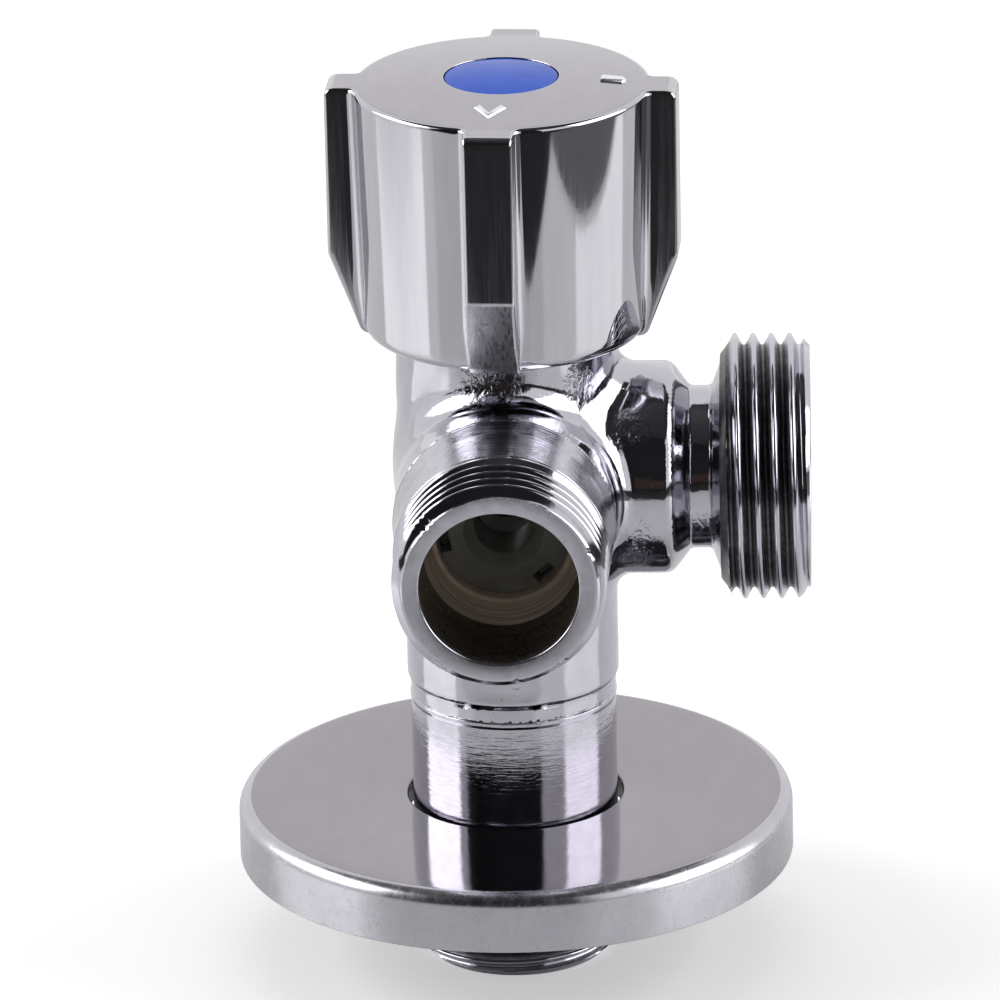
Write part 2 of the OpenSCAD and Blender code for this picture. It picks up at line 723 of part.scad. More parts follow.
valve_body();
ball();
seat_front();
seat_right();
seat_back();
seat_left();
seat_nut_front();
seat_nut_right();
thrust_washer();
glide_ring();
stem();
stem_o_ring_lower();
stem_o_ring_upper();
gland_gasket();
gland_nut();
stop_ring();
knob();
lock_washer();
knob_screw();
knob_cap();
wall_plate();
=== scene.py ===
import math

import bmesh
import bpy
import numpy as np
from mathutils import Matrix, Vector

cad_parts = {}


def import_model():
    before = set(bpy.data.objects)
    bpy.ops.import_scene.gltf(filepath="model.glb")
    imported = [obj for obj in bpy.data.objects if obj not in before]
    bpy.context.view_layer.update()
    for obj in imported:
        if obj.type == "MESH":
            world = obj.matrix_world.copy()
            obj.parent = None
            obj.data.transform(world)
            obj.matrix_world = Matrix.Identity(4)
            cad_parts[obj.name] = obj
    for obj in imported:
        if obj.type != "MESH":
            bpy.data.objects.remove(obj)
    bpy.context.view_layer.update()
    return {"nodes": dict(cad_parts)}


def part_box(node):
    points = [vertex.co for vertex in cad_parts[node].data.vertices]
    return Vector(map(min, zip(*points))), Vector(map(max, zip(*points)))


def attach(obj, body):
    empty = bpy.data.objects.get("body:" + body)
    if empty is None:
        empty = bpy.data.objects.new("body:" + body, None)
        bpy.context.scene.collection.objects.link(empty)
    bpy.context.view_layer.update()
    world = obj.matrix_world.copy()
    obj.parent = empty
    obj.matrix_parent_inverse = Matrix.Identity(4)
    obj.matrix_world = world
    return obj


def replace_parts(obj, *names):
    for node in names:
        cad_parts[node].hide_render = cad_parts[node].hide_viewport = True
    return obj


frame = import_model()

import openvdb as vdb
from mathutils import Matrix, Vector

# Lengths are millimetres until a mesh is made
MM = 0.001


def corner(node, side):
    """Lowest (0) or highest (1) corner of a node's box, in millimetres."""
    return np.array(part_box(node)[side]) / MM


AXIS_H = (corner("seat_front", 0)[2] + corner("seat_front", 1)[2]) / 2
FRONT_L = -corner("valve_body", 0)[1]
RIGHT_L = corner("valve_body", 1)[0]
KNOB_FOOT = corner("knob", 0)[2]
KNOB_CROWN = 0.8
KNOB_TOP = corner("knob", 1)[2] - KNOB_CROWN
PLATE_R = corner("wall_plate", 1)[0]
PLATE_FOOT = corner("wall_plate", 0)[2]
PLATE_TOP = corner("wall_plate", 1)[2]
CAP_R = corner("knob_cap", 1)[0]
CAP_TOP = corner("knob_cap", 1)[2]

# Pipe thread
PITCH = 1.814
THREAD_H = 1.162
THREAD_ROUND = 0.249
FLANK = math.radians(27.5)
HALF_R = 10.4775
THREE_R = 13.2205

# Casting
LOWER_R = 10.6
UPPER_R = 11.05
FRONT_R = 11.0
RIGHT_R = 10.6
FRONT_CAST_L = 16.0
FILLET_R = 2.2
BARREL_TOP = AXIS_H + 17.0
STEP_H = 27.8
NECK_R = 10.3
SEAT_R = 6.65
INLET_R = 6.25
NECK_TOP_H = 29.2
GROOVE_H = 29.35
GROOVE_R = 0.42
GROOVE_ENDS = (math.radians(-16), math.radians(11.5))
BELT_PROUD = 0.14
WAVE_DEPTH = 0.02
BURR_DEPTH = 0.03
# Rough patches of the casting: centre, radius where full, radius where they end
ROUGH_PATCHES = [
    ((-1.5, -10.6, AXIS_H + 12.8), 1.4, 4.4),
    ((7.4, -8.0, AXIS_H + 11.6), 0.8, 3.0),
    ((12.5, -8.0, AXIS_H + 6.8), 0.8, 3.0),
    ((13.5, -10.4, AXIS_H - 3.0), 0.5, 2.6),
    ((12.6, -8.6, AXIS_H - 6.4), 0.8, 2.8),
    ((19.0, -7.0, AXIS_H - 2.5), 0.5, 2.4),
]

# Knob
KNOB_TOP_R = 14.7
KNOB_FOOT_R = 14.1
RIB_REACH = 17.35
RIB_HALF = 2.425
RIB_SLOPE = 8.3
KNOB_PHASE = math.radians(-3.0)
MARK_R = 11.0


class Frame:
    """Local axes: along, and two across it that make a right handed set."""

    def __init__(self, origin, across_u, across_v, along):
        self.origin = np.array(origin, float)
        self.u = np.array(across_u, float)
        self.v = np.array(across_v, float)
        self.along = np.array(along, float)

    def place(self, radius, along, angle):
        ring = np.cos(angle)[..., None] * self.u + np.sin(angle)[..., None] * self.v
        return self.origin + radius[..., None] * ring + along[..., None] * self.along


UP = Frame((0, 0, 0), (1, 0, 0), (0, 1, 0), (0, 0, 1))
DOWN = Frame((0, 0, 0), (0, 1, 0), (1, 0, 0), (0, 0, -1))
TO_FRONT = Frame((0, 0, AXIS_H), (1, 0, 0), (0, 0, 1), (0, -1, 0))
TO_RIGHT = Frame((0, 0, AXIS_H), (0, 1, 0), (0, 0, 1), (1, 0, 0))


# Materials


class Surface:
    """A Principled material built from nodes, with coordinates in millimetres."""

    def __init__(self, name, colour, metallic, roughness):
        self.material = bpy.data.materials.new(name)
        self.material.use_nodes = True
        self.tree = self.material.node_tree
        self.shader = self.tree.nodes["Principled BSDF"]
        self.shader.inputs["Metallic"].default_value = metallic
        self.shader.inputs["Roughness"].default_value = roughness
        self.shader.inputs["Base Color"].default_value = (*colour, 1)
        where = self.add("TexCoord").outputs["Object"]
        self.where = self.add("VectorMath", {0: where, "Scale": 1 / MM}, operation="SCALE").outputs[0]
        self.height = None

    def feed(self, socket, value):
        if isinstance(value, bpy.types.NodeSocket):
            self.tree.links.new(value, socket)
        else:
            socket.default_value = value

    def add(self, kind, inputs=None, **settings):
        node = self.tree.nodes.new("ShaderNode" + kind)
        for key, value in settings.items():
            setattr(node, key, value)
        for key, value in (inputs or {}).items():
            self.feed(node.inputs[key], value)
        return node

    def math(self, operation, first, second=0.0):
        return self.add("Math", {0: first, 1: second}, operation=operation).outputs[0]

    def stretch(self, scale, shift=(0, 0, 0)):
        settings = {"Vector": self.where, "Scale": scale, "Location": shift}
        return self.add("Mapping", settings).outputs[0]

    def noise(self, scale, detail=2.0, shift=(0, 0, 0), rough=0.5, twist=0.0):
        settings = {
            "Vector": self.stretch(scale, shift),
            "Scale": 1.0,
            "Detail": detail,
            "Roughness": rough,
            "Distortion": twist,
        }
        return self.add("TexNoise", settings).outputs["Fac"]

    def ramp(self, value, low, high, out_low=0.0, out_high=1.0):
        settings = {
            "Value": value,
            "From Min": low,
            "From Max": high,
            "To Min": out_low,
            "To Max": out_high,
        }
        return self.add("MapRange", settings, interpolation_type="SMOOTHSTEP").outputs[0]

    def near(self, centre, inner, outer):
        """One inside the inner radius around a point, zero past the outer one."""
        settings = {0: self.where, 1: centre}
        away = self.add("VectorMath", settings, operation="DISTANCE").outputs["Value"]
        return self.ramp(away, inner, outer, 1.0, 0.0)

    def highest(self, masks):
        """The highest of several masks at each point."""
        top = masks[0]
        for mask in masks[1:]:
            top = self.math("MAXIMUM", top, mask)
        return top

    def raise_by(self, value, amount):
        """Adds a layer of relief, amount in millimetres."""
        layer = self.math("MULTIPLY", value, amount)
        self.height = layer if self.height is None else self.math("ADD", self.height, layer)

    def tint(self, value, low_colour, high_colour):
        """Base colour between two colours, by a value from zero to one."""
        settings = {0: value, 6: (*low_colour, 1), 7: (*high_colour, 1)}
        node = self.tree.nodes.new("ShaderNodeMix")
        node.data_type = "RGBA"
        for key, item in settings.items():
            self.feed(node.inputs[key], item)
        self.base = node.outputs[2]
        self.tree.links.new(self.base, self.shader.inputs["Base Color"])

    def shade(self, mask, colour):
        """Lays one more colour over the base colour where the mask is one."""
        under = self.base
        self.tint(mask, (0, 0, 0), colour)
        self.tree.links.new(under, self.base.node.inputs[6])

    def rough(self, value, low, high):
        """Roughness between two values, by the middle part of a noise."""
        self.feed(self.shader.inputs["Roughness"], self.ramp(value, 0.3, 0.7, low, high))

    def done(self, **sockets):
        for key, value in sockets.items():
            self.shader.inputs[key.replace("_", " ")].default_value = value
        if self.height is not None:
            settings = {"Height": self.height, "Distance": MM, "Strength": 1.0}
            bump = self.add("Bump", settings).outputs["Normal"]
            self.tree.links.new(bump, self.shader.inputs["Normal"])
        return self.material


CHROME = (0.52, 0.515, 0.57)
KNOB_CHROME = (0.53, 0.523, 0.56)


def lines_around(surface, axis, fine, along_shift=0.0, across=0.06):
    """Noise that is drawn out round an axis, as a tool leaves it."""
    scale = [across, across, across]
    scale[axis] = fine
    shift = [0.0, 0.0, 0.0]
    shift[axis] = along_shift
    return surface.noise(scale, 3.0, shift, 0.6)


def cast_chrome():
    """Chrome over the casting, with folds in patches, pits and painted shade at the groove's two ends.
    """
    s = Surface("cast_chrome", CHROME, 1.0, 0.05)
    s.raise_by(s.noise((0.28, 0.28, 0.28), 1.0), 0.03)
    s.raise_by(s.noise((1.1, 1.1, 1.1), 1.0), 0.007)
    s.raise_by(s.noise((3.4, 3.4, 3.4), 2.0, (3, 1, 2)), 0.006)
    patches = s.highest([s.near(*patch) for patch in ROUGH_PATCHES])
    folds = s.noise((1.7, 1.7, 1.1), 3.0, (7, 2, 5), 0.55, 0.8)
    s.raise_by(s.math("MULTIPLY", patches, folds), 0.13)
    loose = s.ramp(s.noise((0.16, 0.16, 0.2), 1.0, (9, 4, 1)), 0.54, 0.7)
    s.raise_by(s.math("MULTIPLY", loose, folds), 0.016)
    pits = s.ramp(s.noise((2.6, 2.6, 2.6), 1.0, (1, 8, 3)), 0.2, 0.26, 1.0, 0.0)
    s.raise_by(pits, -0.012)
    s.rough(s.noise((0.4, 0.4, 0.4), 2.0, (5, 5, 5)), 0.06, 0.1)
    s.tint(s.ramp(s.noise((0.5, 0.5, 0.5), 3.0), 0.3, 0.7), (0.49, 0.485, 0.53), CHROME)
    # Painted shade: the groove's two ends are darkened in colour, in a row of spots that taper away from
    # the front
    painted_shade_spots = []
    for end, outward in zip(GROOVE_ENDS, (-1, 1)):
        for step in range(6):
            size = 0.45 - 0.05 * step
            a = end + outward * math.radians(2.5 + 2.6 * step)
            centre = (LOWER_R * math.sin(a), -LOWER_R * math.cos(a), GROOVE_H + 0.05)
            painted_shade_spots.append(s.near(centre, size * 0.7, size))
    s.shade(s.highest(painted_shade_spots), (0.03, 0.03, 0.034))
    return s.done()


def turned_chrome(name, axis, coarse=0.006, rough=(0.06, 0.16), band=None):
    """Chrome over a turned surface; band is where the tool marks grow to their full depth."""
    s = Surface(name, CHROME, 1.0, 0.1)
    fine = lines_around(s, axis, 6.5)
    wide = lines_around(s, axis, 2.8, 4.0, 0.25)
    if band:
        along = s.add("SeparateXYZ", {0: s.where}).outputs["XYZ"[axis]]
        rise = s.ramp(along, band[0], band[1], 0.5, 1.0)
        wide = s.math("MULTIPLY", wide, rise)
        s.raise_by(lines_around(s, axis, 2.4, 9.0, 0.5), coarse * 2.4)
    s.raise_by(fine, coarse)
    s.raise_by(wide, coarse * 3)
    s.rough(s.noise((0.8, 0.8, 0.8), 3.0, (2, 2, 7)), *rough)
    s.tint(s.ramp(s.noise((0.7, 0.7, 0.7), 3.0), 0.3, 0.7), (0.48, 0.475, 0.525), CHROME)
    return s.done()


def thread_chrome(name, axis, major, lead):
    """Chrome on a thread: bright crests, bright end past the lead, and painted shade that darkens the
    valleys, mixed with a random stain that also sets the roughness.
    """
    s = Surface(name, CHROME, 1.0, 0.12)
    flat = [1.0, 1.0, 1.0]
    flat[axis] = 0.0
    centre = (0, 0, 0) if axis == 2 else (0, 0, -AXIS_H)
    across = s.add("VectorMath", {0: s.where, 1: centre}, operation="ADD").outputs[0]
    across = s.add("VectorMath", {0: across, 1: flat}, operation="MULTIPLY").outputs[0]
    radius = s.add("VectorMath", {0: across}, operation="LENGTH").outputs["Value"]
    along = s.add("SeparateXYZ", {0: s.where}).outputs["XYZ"[axis]]
    depth = s.ramp(radius, major - THREAD_H, major - 0.12)
    depth = s.math("MAXIMUM", depth, s.ramp(along, *lead))
    s.raise_by(s.noise((3.0, 3.0, 3.0), 3.0), 0.004)
    s.raise_by(lines_around(s, axis, 7.0), 0.003)
    stain = s.math("MULTIPLY", s.noise((1.2, 1.2, 1.2), 4.0, (4, 1, 1)), 0.5)
    stain_and_shade = s.math("ADD", s.math("MULTIPLY", depth, 0.75), stain)
    s.rough(stain_and_shade, 0.34, 0.1)
    # Painted shade: the base colour goes dark towards the thread's root, with a random stain mixed in
    s.tint(s.ramp(stain_and_shade, 0.15, 0.95), (0.1, 0.093, 0.098), CHROME)
    return s.done()


def knob_chrome(name, rough, swirl=0.0, streak=0.00012):
    """Polished chrome with streaks along the knob; swirl is the height of broad waves."""
    s = Surface(name, KNOB_CHROME, 1.0, rough[0])
    s.raise_by(s.noise((0.16, 0.16, 0.09), 1.0), 0.01)
    s.raise_by(s.noise((3.5, 3.5, 2.5), 3.0, (1, 2, 3)), 0.0003)
    s.raise_by(s.noise((5.0, 5.0, 0.25), 2.0, (4, 2, 3)), streak)
    if swirl:
        s.raise_by(s.noise((0.5, 0.5, 0.35), 1.0, (3, 8, 5)), swirl)
    s.rough(s.noise((3.5, 3.5, 0.15), 3.0), *rough)
    s.tint(s.ramp(s.noise((0.9, 0.9, 0.1), 2.0), 0.3, 0.7), (0.5, 0.493, 0.53), KNOB_CHROME)
    return s.done()


def satin_chrome(name, low, high, rough, smudge=0.0):
    """Softer chrome of knob top and plate; smudge is the height of rubbed marks."""
    s = Surface(name, high, 1.0, rough[0])
    s.raise_by(s.noise((0.12, 0.12, 0.12), 1.0), 0.006)
    s.raise_by(s.noise((5.0, 0.8, 5.0), 3.0), 0.0008)
    marks = s.noise((0.9, 0.9, 0.5), 4.0, (2, 6, 1), 0.65)
    if smudge:
        s.raise_by(s.ramp(marks, 0.55, 0.7), smudge)
    s.rough(marks, *rough)
    s.tint(s.ramp(s.noise((0.5, 0.2, 0.5), 3.0), 0.3, 0.7), low, high)
    return s.done()


def bare_brass(name, axis, low, high, rough, metallic=1.0):
    """Turned brass without plating, with the tool's rings round an axis."""
    s = Surface(name, high, metallic, rough[0])
    rings = lines_around(s, axis, 4.5, 0.0, 0.1)
    s.raise_by(rings, 0.014)
    s.raise_by(lines_around(s, axis, 14.0), 0.003)
    s.rough(s.noise((1.0, 1.0, 1.0), 3.0), *rough)
    s.tint(s.ramp(rings, 0.35, 0.65), low, high)
    return s.done()


def turned_brass():
    s = Surface("turned_brass", (0.7, 0.5, 0.22), 1.0, 0.25)
    s.raise_by(lines_around(s, 2, 8.0), 0.004)
    s.rough(s.noise((1.0, 1.0, 1.0), 3.0), 0.18, 0.34)
    s.tint(s.ramp(s.noise((0.4, 0.4, 0.4), 3.0), 0.3, 0.7), (0.6, 0.42, 0.19), (0.76, 0.57, 0.28))
    return s.done()


def plated_ball():
    s = Surface("plated_ball", (0.6, 0.6, 0.6), 1.0, 0.05)
    s.raise_by(s.noise((0.4, 0.4, 0.4), 1.0), 0.006)
    s.rough(s.noise((2.0, 2.0, 2.0), 3.0), 0.03, 0.1)
    s.tint(s.noise((1.0, 1.0, 1.0), 3.0), (0.55, 0.55, 0.56), (0.64, 0.64, 0.64))
    return s.done()


def plastic(name, low, high, rough, grain=0.004, **sockets):
    s = Surface(name, high, 0.0, rough[0])
    s.raise_by(s.noise((1.2, 1.2, 1.2), 2.0), grain * 2)
    s.raise_by(s.noise((9.0, 9.0, 9.0), 3.0, (3, 3, 3)), grain * 0.3)
    s.rough(s.noise((1.5, 1.5, 1.5), 3.0, (1, 2, 3)), *rough)
    s.tint(s.ramp(s.noise((0.35, 0.35, 0.35), 3.0, (6, 1, 2)), 0.3, 0.7), low, high)
    return s.done(**sockets)


def steel():
    s = Surface("zinc_steel", (0.5, 0.5, 0.5), 1.0, 0.3)
    s.raise_by(s.noise((2.0, 2.0, 2.0), 3.0), 0.01)
    s.rough(s.noise((1.0, 1.0, 1.0), 3.0), 0.22, 0.4)
    s.tint(s.ramp(s.noise((0.6, 0.6, 0.6), 3.0), 0.3, 0.7), (0.46, 0.46, 0.43), (0.58, 0.58, 0.56))
    return s.done()


# Meshes


def finish_object(name, mesh, body, materials, sharp=32):
    """Makes a piece of a mesh: sharp edges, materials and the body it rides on."""
    mesh.set_sharp_from_angle(angle=math.radians(sharp))
    for material in materials:
        mesh.materials.append(material)
    piece = bpy.data.objects.new(name, mesh)
    bpy.context.scene.collection.objects.link(piece)
    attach(piece, body)
    return piece


def rounded(corners, steps=4):
    """Outline through corners (radius, along, rounding); the two ends stay as they are."""
    points = [np.array(c[:2], float) for c in corners]
    out = [points[0]]
    for i in range(1, len(corners) - 1):
        here, size = points[i], corners[i][2] if len(corners[i]) > 2 else 0
        back, ahead = points[i - 1] - here, points[i + 1] - here
        back_l, ahead_l = np.linalg.norm(back), np.linalg.norm(ahead)
        back, ahead = back / back_l, ahead / ahead_l
        half = math.acos(np.clip(back @ ahead, -1, 1)) / 2
        sweep = math.pi - 2 * half
        if size == 0 or sweep < 0.03:
            out.append(here)
            continue
        cut = min(size / math.tan(half), 0.48 * back_l, 0.48 * ahead_l)
        middle = (back + ahead) / np.linalg.norm(back + ahead)
        centre = here + middle * cut / math.cos(half)
        first, last = here + back * cut - centre, here + ahead * cut - centre
        for k in range(steps + 1):
            t = k / steps
            mix = math.sin((1 - t) * sweep) * first + math.sin(t * sweep) * last
            out.append(centre + mix / math.sin(sweep))
    out.append(points[-1])
    return out


def plain_rows(points, columns):
    """Rows of a surface of revolution, one round each point (radius, along)."""
    grid = np.ones(columns + 1)
    radius = np.array([p[0] for p in points])[:, None] * grid
    along = np.array([p[1] for p in points])[:, None] * grid
    return radius, along


def thread_radius(major, s):
    """Radius of a pipe thread at the distance s from its nearest crest."""
    edge = THREAD_ROUND * math.cos(FLANK)
    rise = THREAD_H / 2 - THREAD_ROUND
    crest = rise + np.sqrt(np.maximum(THREAD_ROUND**2 - s**2, 0))
    valley = PITCH / 2 - s
    root = -rise - np.sqrt(np.maximum(THREAD_ROUND**2 - valley**2, 0))
    y_edge = rise + THREAD_ROUND * math.sin(FLANK)
    slope = 2 * y_edge / (PITCH / 2 - 2 * edge)
    flank = y_edge - (s - edge) * slope
    y = np.where(s < edge, crest, np.where(valley < edge, root, flank))
    return major - THREAD_H / 2 + y


def thread_rows(major, start, end, crest_at, crest_turn, shape, columns, steps=18):
    """Rows that follow the helix, clamped to the thread's two ends."""
    turn = np.linspace(0, 1, columns + 1)
    lead = turn - crest_turn
    first = math.floor((start - crest_at) / PITCH * steps - steps * (1 - crest_turn)) - 1
    last = math.ceil((end - crest_at) / PITCH * steps + steps * crest_turn) + 1
    k = np.arange(first, last + 1)
    along = np.clip(crest_at + PITCH * (lead[None, :] + k[:, None] / steps), start, end)
    phase = (along - crest_at) / PITCH - lead[None, :]
    radius = thread_radius(major, PITCH * np.abs(phase - np.round(phase)))
    return shape(radius, along), along


def turned(name, local, parts, body, materials, columns=192, sharp=32):
    """Closed surface of revolution from rows; a part is (radius rows, along rows, material)."""
    radius = np.concatenate([p[0] for p in parts])
    along = np.concatenate([p[1] for p in parts])
    index = np.concatenate([np.full(len(p[0]), p[2]) for p in parts])
    angle = np.linspace(0, 2 * math.pi, columns + 1)[None, :] * np.ones((len(radius), 1))
    verts = local.place(radius, along, angle).reshape(-1, 3) * MM
    rows, cols = radius.shape
    a = (np.arange(rows)[:, None] * cols + np.arange(cols - 1)[None, :]).ravel()
    b = (((np.arange(rows) + 1) % rows)[:, None] * cols + np.arange(cols - 1)[None, :]).ravel()
    faces = np.stack([a, a + 1, b + 1, b], axis=1)
    mesh = bpy.data.meshes.new(name)
    mesh.from_pydata(verts, [], faces)
    mesh.polygons.foreach_set("material_index", np.repeat(index, cols - 1))
    tidy_mesh(mesh)
    return finish_object(name, mesh, body, materials, sharp)


def tidy_mesh(mesh, gap=1e-6):
    """Merges points that coincide, drops empty faces and turns all faces outwards."""
    work = bmesh.new()
    work.from_mesh(mesh)
    bmesh.ops.remove_doubles(work, verts=work.verts, dist=gap)
    bmesh.ops.dissolve_degenerate(work, edges=work.edges, dist=gap)
    bmesh.ops.recalc_face_normals(work, faces=work.faces)
    for face in work.faces:
        face.smooth = True
    work.to_mesh(mesh)
    work.free()


# Casting, as a distance field


def outline_distance(outline, r, d):
    """Signed distance from points (r, d) to a closed outline, below zero inside."""
    best = np.full(r.shape, np.inf, r.dtype)
    inside = np.zeros(r.shape, bool)
    for (ax, ay), (bx, by) in zip(outline, outline[-1:] + outline[:-1]):
        ex, ey = bx - ax, by - ay
        wx, wy = r - ax, d - ay
        t = np.clip((wx * ex + wy * ey) / (ex * ex + ey * ey), 0, 1)
        best = np.minimum(best, (wx - ex * t) ** 2 + (wy - ey * t) ** 2)
        above, below, left = d >= ay, d < by, ex * wy > ey * wx
        inside ^= (above & below & left) | (~above & ~below & ~left)
    return np.where(inside, -1, 1) * np.sqrt(best)


def filleted_join(a, b, size):
    """Union of two solids with a rolling ball fillet between them."""
    near = np.hypot(np.maximum(size - a, 0), np.maximum(size - b, 0))
    return np.maximum(size, np.minimum(a, b)) - near


def closed(points, inner=-6.0):
    """Outline of a solid of revolution, carried past its axis so that no edge lies on it."""
    return [(inner, points[0][1])] + [tuple(p) for p in points] + [(inner, points[-1][1])]


BARREL = closed(rounded([
    (0, STEP_H),
    (NECK_R - 0.02, STEP_H, 0.12),
    (NECK_R - 0.02, NECK_TOP_H),
    (LOWER_R, NECK_TOP_H + 0.6, 0.9),
    (LOWER_R, AXIS_H - 4, 4),
    (UPPER_R, AXIS_H + 4, 4),
    (UPPER_R, BARREL_TOP, 0.5),
    (0, BARREL_TOP),
]))
FRONT_BOSS = closed(rounded([
    (0, -2),
    (FRONT_R, -2),
    (FRONT_R, FRONT_CAST_L, 0.12),
    (0, FRONT_CAST_L),
]))
BOSS_END = 16.2
WAIST_R = 8.1
FLARE_END = 21.7
RIGHT_BOSS = closed(rounded([
    (0, -2),
    (RIGHT_R, -2),
    (RIGHT_R, BOSS_END, 1.5),
    (WAIST_R, BOSS_END + 1.9, 0.5),
    (WAIST_R, 20.2, 0.35),
    (THREE_R - 1.2, FLARE_END, 0.1),
    (0, FLARE_END),
]))
STEM_WAY = closed([
    (4.05, AXIS_H),
    (4.05, AXIS_H + 8.25),
    (6.0, AXIS_H + 8.25),
    (6.0, AXIS_H + 11.75),
    (6.55, AXIS_H + 11.75),
    (6.55, BARREL_TOP + 2),
])


def smooth_step(x, low, high):
    t = np.clip((x - low) / (high - low), 0, 1)
    return t * t * (3 - 2 * t)


def casting_distance(p):
    """Signed distance from points to the casting, in millimetres, below zero inside."""
    x, y, z = p[..., 0], p[..., 1], p[..., 2]
    h = z - AXIS_H
    across = np.arctan2(x, -y)
    seam = smooth_step(across, GROOVE_ENDS[0] - 0.2, GROOVE_ENDS[0] + 0.02)
    seam = seam * smooth_step(-across, -GROOVE_ENDS[1] - 0.2, -GROOVE_ENDS[1] + 0.06)
    wave = WAVE_DEPTH * (np.sin(0.55 * x + 0.9 * z) + np.sin(0.8 * z - 0.7 * x + 1.3 * y))
    belt = BELT_PROUD * seam * (1 - smooth_step(z, 29.0, 31.4))
    burr = BURR_DEPTH * (np.sin(23 * across) + np.sin(37 * across + 1) * np.sin(11 * across))
    from_z = np.hypot(x, y)
    barrel = outline_distance(BARREL, from_z - belt, z + burr * (1 - smooth_step(z, 28.0, 29.0)))
    front = outline_distance(FRONT_BOSS, np.hypot(x, h), -y)
    right = outline_distance(RIGHT_BOSS, np.hypot(y, h), x)
    solid = filleted_join(filleted_join(barrel, front, FILLET_R), right, FILLET_R)
    free = smooth_step(z, 30, 33) * smooth_step(-x, -20, -17) * smooth_step(y, -15.5, -13)
    solid = solid + wave * free
    ends = np.exp(-(((across - GROOVE_ENDS[0] + 0.12) / 0.16) ** 2))
    ends = ends + np.exp(-(((across - GROOVE_ENDS[1] - 0.12) / 0.16) ** 2))
    groove_r = LOWER_R + 0.12 + 0.8 * seam - 0.2 * ends
    groove = np.hypot(from_z - groove_r, z - GROOVE_H) - GROOVE_R
    solid = np.maximum(solid, -groove)
    ways = [
        outline_distance(STEM_WAY, from_z, z),
        np.maximum(from_z - INLET_R, h),
        np.maximum(np.hypot(x, h) - SEAT_R, y - 6.9),
        np.maximum(np.hypot(y, h) - SEAT_R, -x - 6.9),
    ]
    for way in ways:
        solid = np.maximum(solid, -way)
    return solid


def gradient(p, step=0.02):
    """Unit direction in which the distance to the casting grows."""
    slope = np.empty_like(p)
    for axis in range(3):
        shift = np.zeros(3)
        shift[axis] = step
        slope[:, axis] = casting_distance(p + shift) - casting_distance(p - shift)
    return slope / np.maximum(np.linalg.norm(slope, axis=1, keepdims=True), 1e-9)


def body_casting(materials, cell=0.25):
    """Barrel with both bosses, meshed from the distance field and pulled onto its surface."""
    low = np.array((-12.2, -17.0, STEP_H - 1.0))
    high = np.array((22.6, 12.2, BARREL_TOP + 1.0))
    count = np.ceil((high - low) / cell).astype(int)
    axes = [low[i] + cell * np.arange(count[i]) for i in range(3)]
    field = np.empty(tuple(count), np.float32)
    for i, x in enumerate(axes[0]):
        y, z = np.meshgrid(axes[1], axes[2], indexing="ij")
        field[i] = casting_distance(np.stack([np.full_like(y, x), y, z], axis=-1))
    grid = vdb.FloatGrid(3 * cell)
    grid.copyFromArray(np.clip(field, -3 * cell, 3 * cell))
    grid.transform = vdb.createLinearTransform(voxelSize=cell)
    points, quads = grid.convertToQuads(0.0)
    points = points.astype(float) + low
    for _ in range(3):
        slope = gradient(points)
        points -= slope * np.clip(casting_distance(points), -cell, cell)[:, None]
    normals = gradient(points)
    mesh = bpy.data.meshes.new("body_casting")
    mesh.from_pydata(points * MM, [], quads[:, ::-1])
    mesh.polygons.foreach_set("use_smooth", np.ones(len(mesh.polygons), bool))
    piece = finish_object("body_casting", mesh, "body", materials, 60)
    if np.einsum("ij,ij->i", face_normals(mesh), normals[quads[:, 0]]).mean() < 0:
        mesh.flip_normals()
    mesh.normals_split_custom_set_from_vertices(normals)
    return piece


def face_normals(mesh):
    out = np.empty(len(mesh.polygons) * 3)
    mesh.polygons.foreach_get("normal", out)
    return out.reshape(-1, 3)


def knock(piece, local, knocks):
    """Small dents in an edge: angle, along, radius, reach and depth of each."""
    mesh = piece.data
    points = np.empty(len(mesh.vertices) * 3)
    mesh.vertices.foreach_get("co", points)
    points = points.reshape(-1, 3) / MM
    for angle, along, radius, reach, depth in knocks:
        a = math.radians(angle)
        outward = math.cos(a) * local.u + math.sin(a) * local.v
        centre = local.origin + radius * outward + along * local.along
        away = np.linalg.norm(points - centre, axis=1) / reach
        rough = 0.6 + np.sin(points @ np.array((5.1, 3.3, 6.7)))
        points -= (np.exp(-(away**2)) * depth * rough)[:, None] * outward
    mesh.vertices.foreach_set("co", (points * MM).ravel())
    mesh.update()


# Turned ends of the body


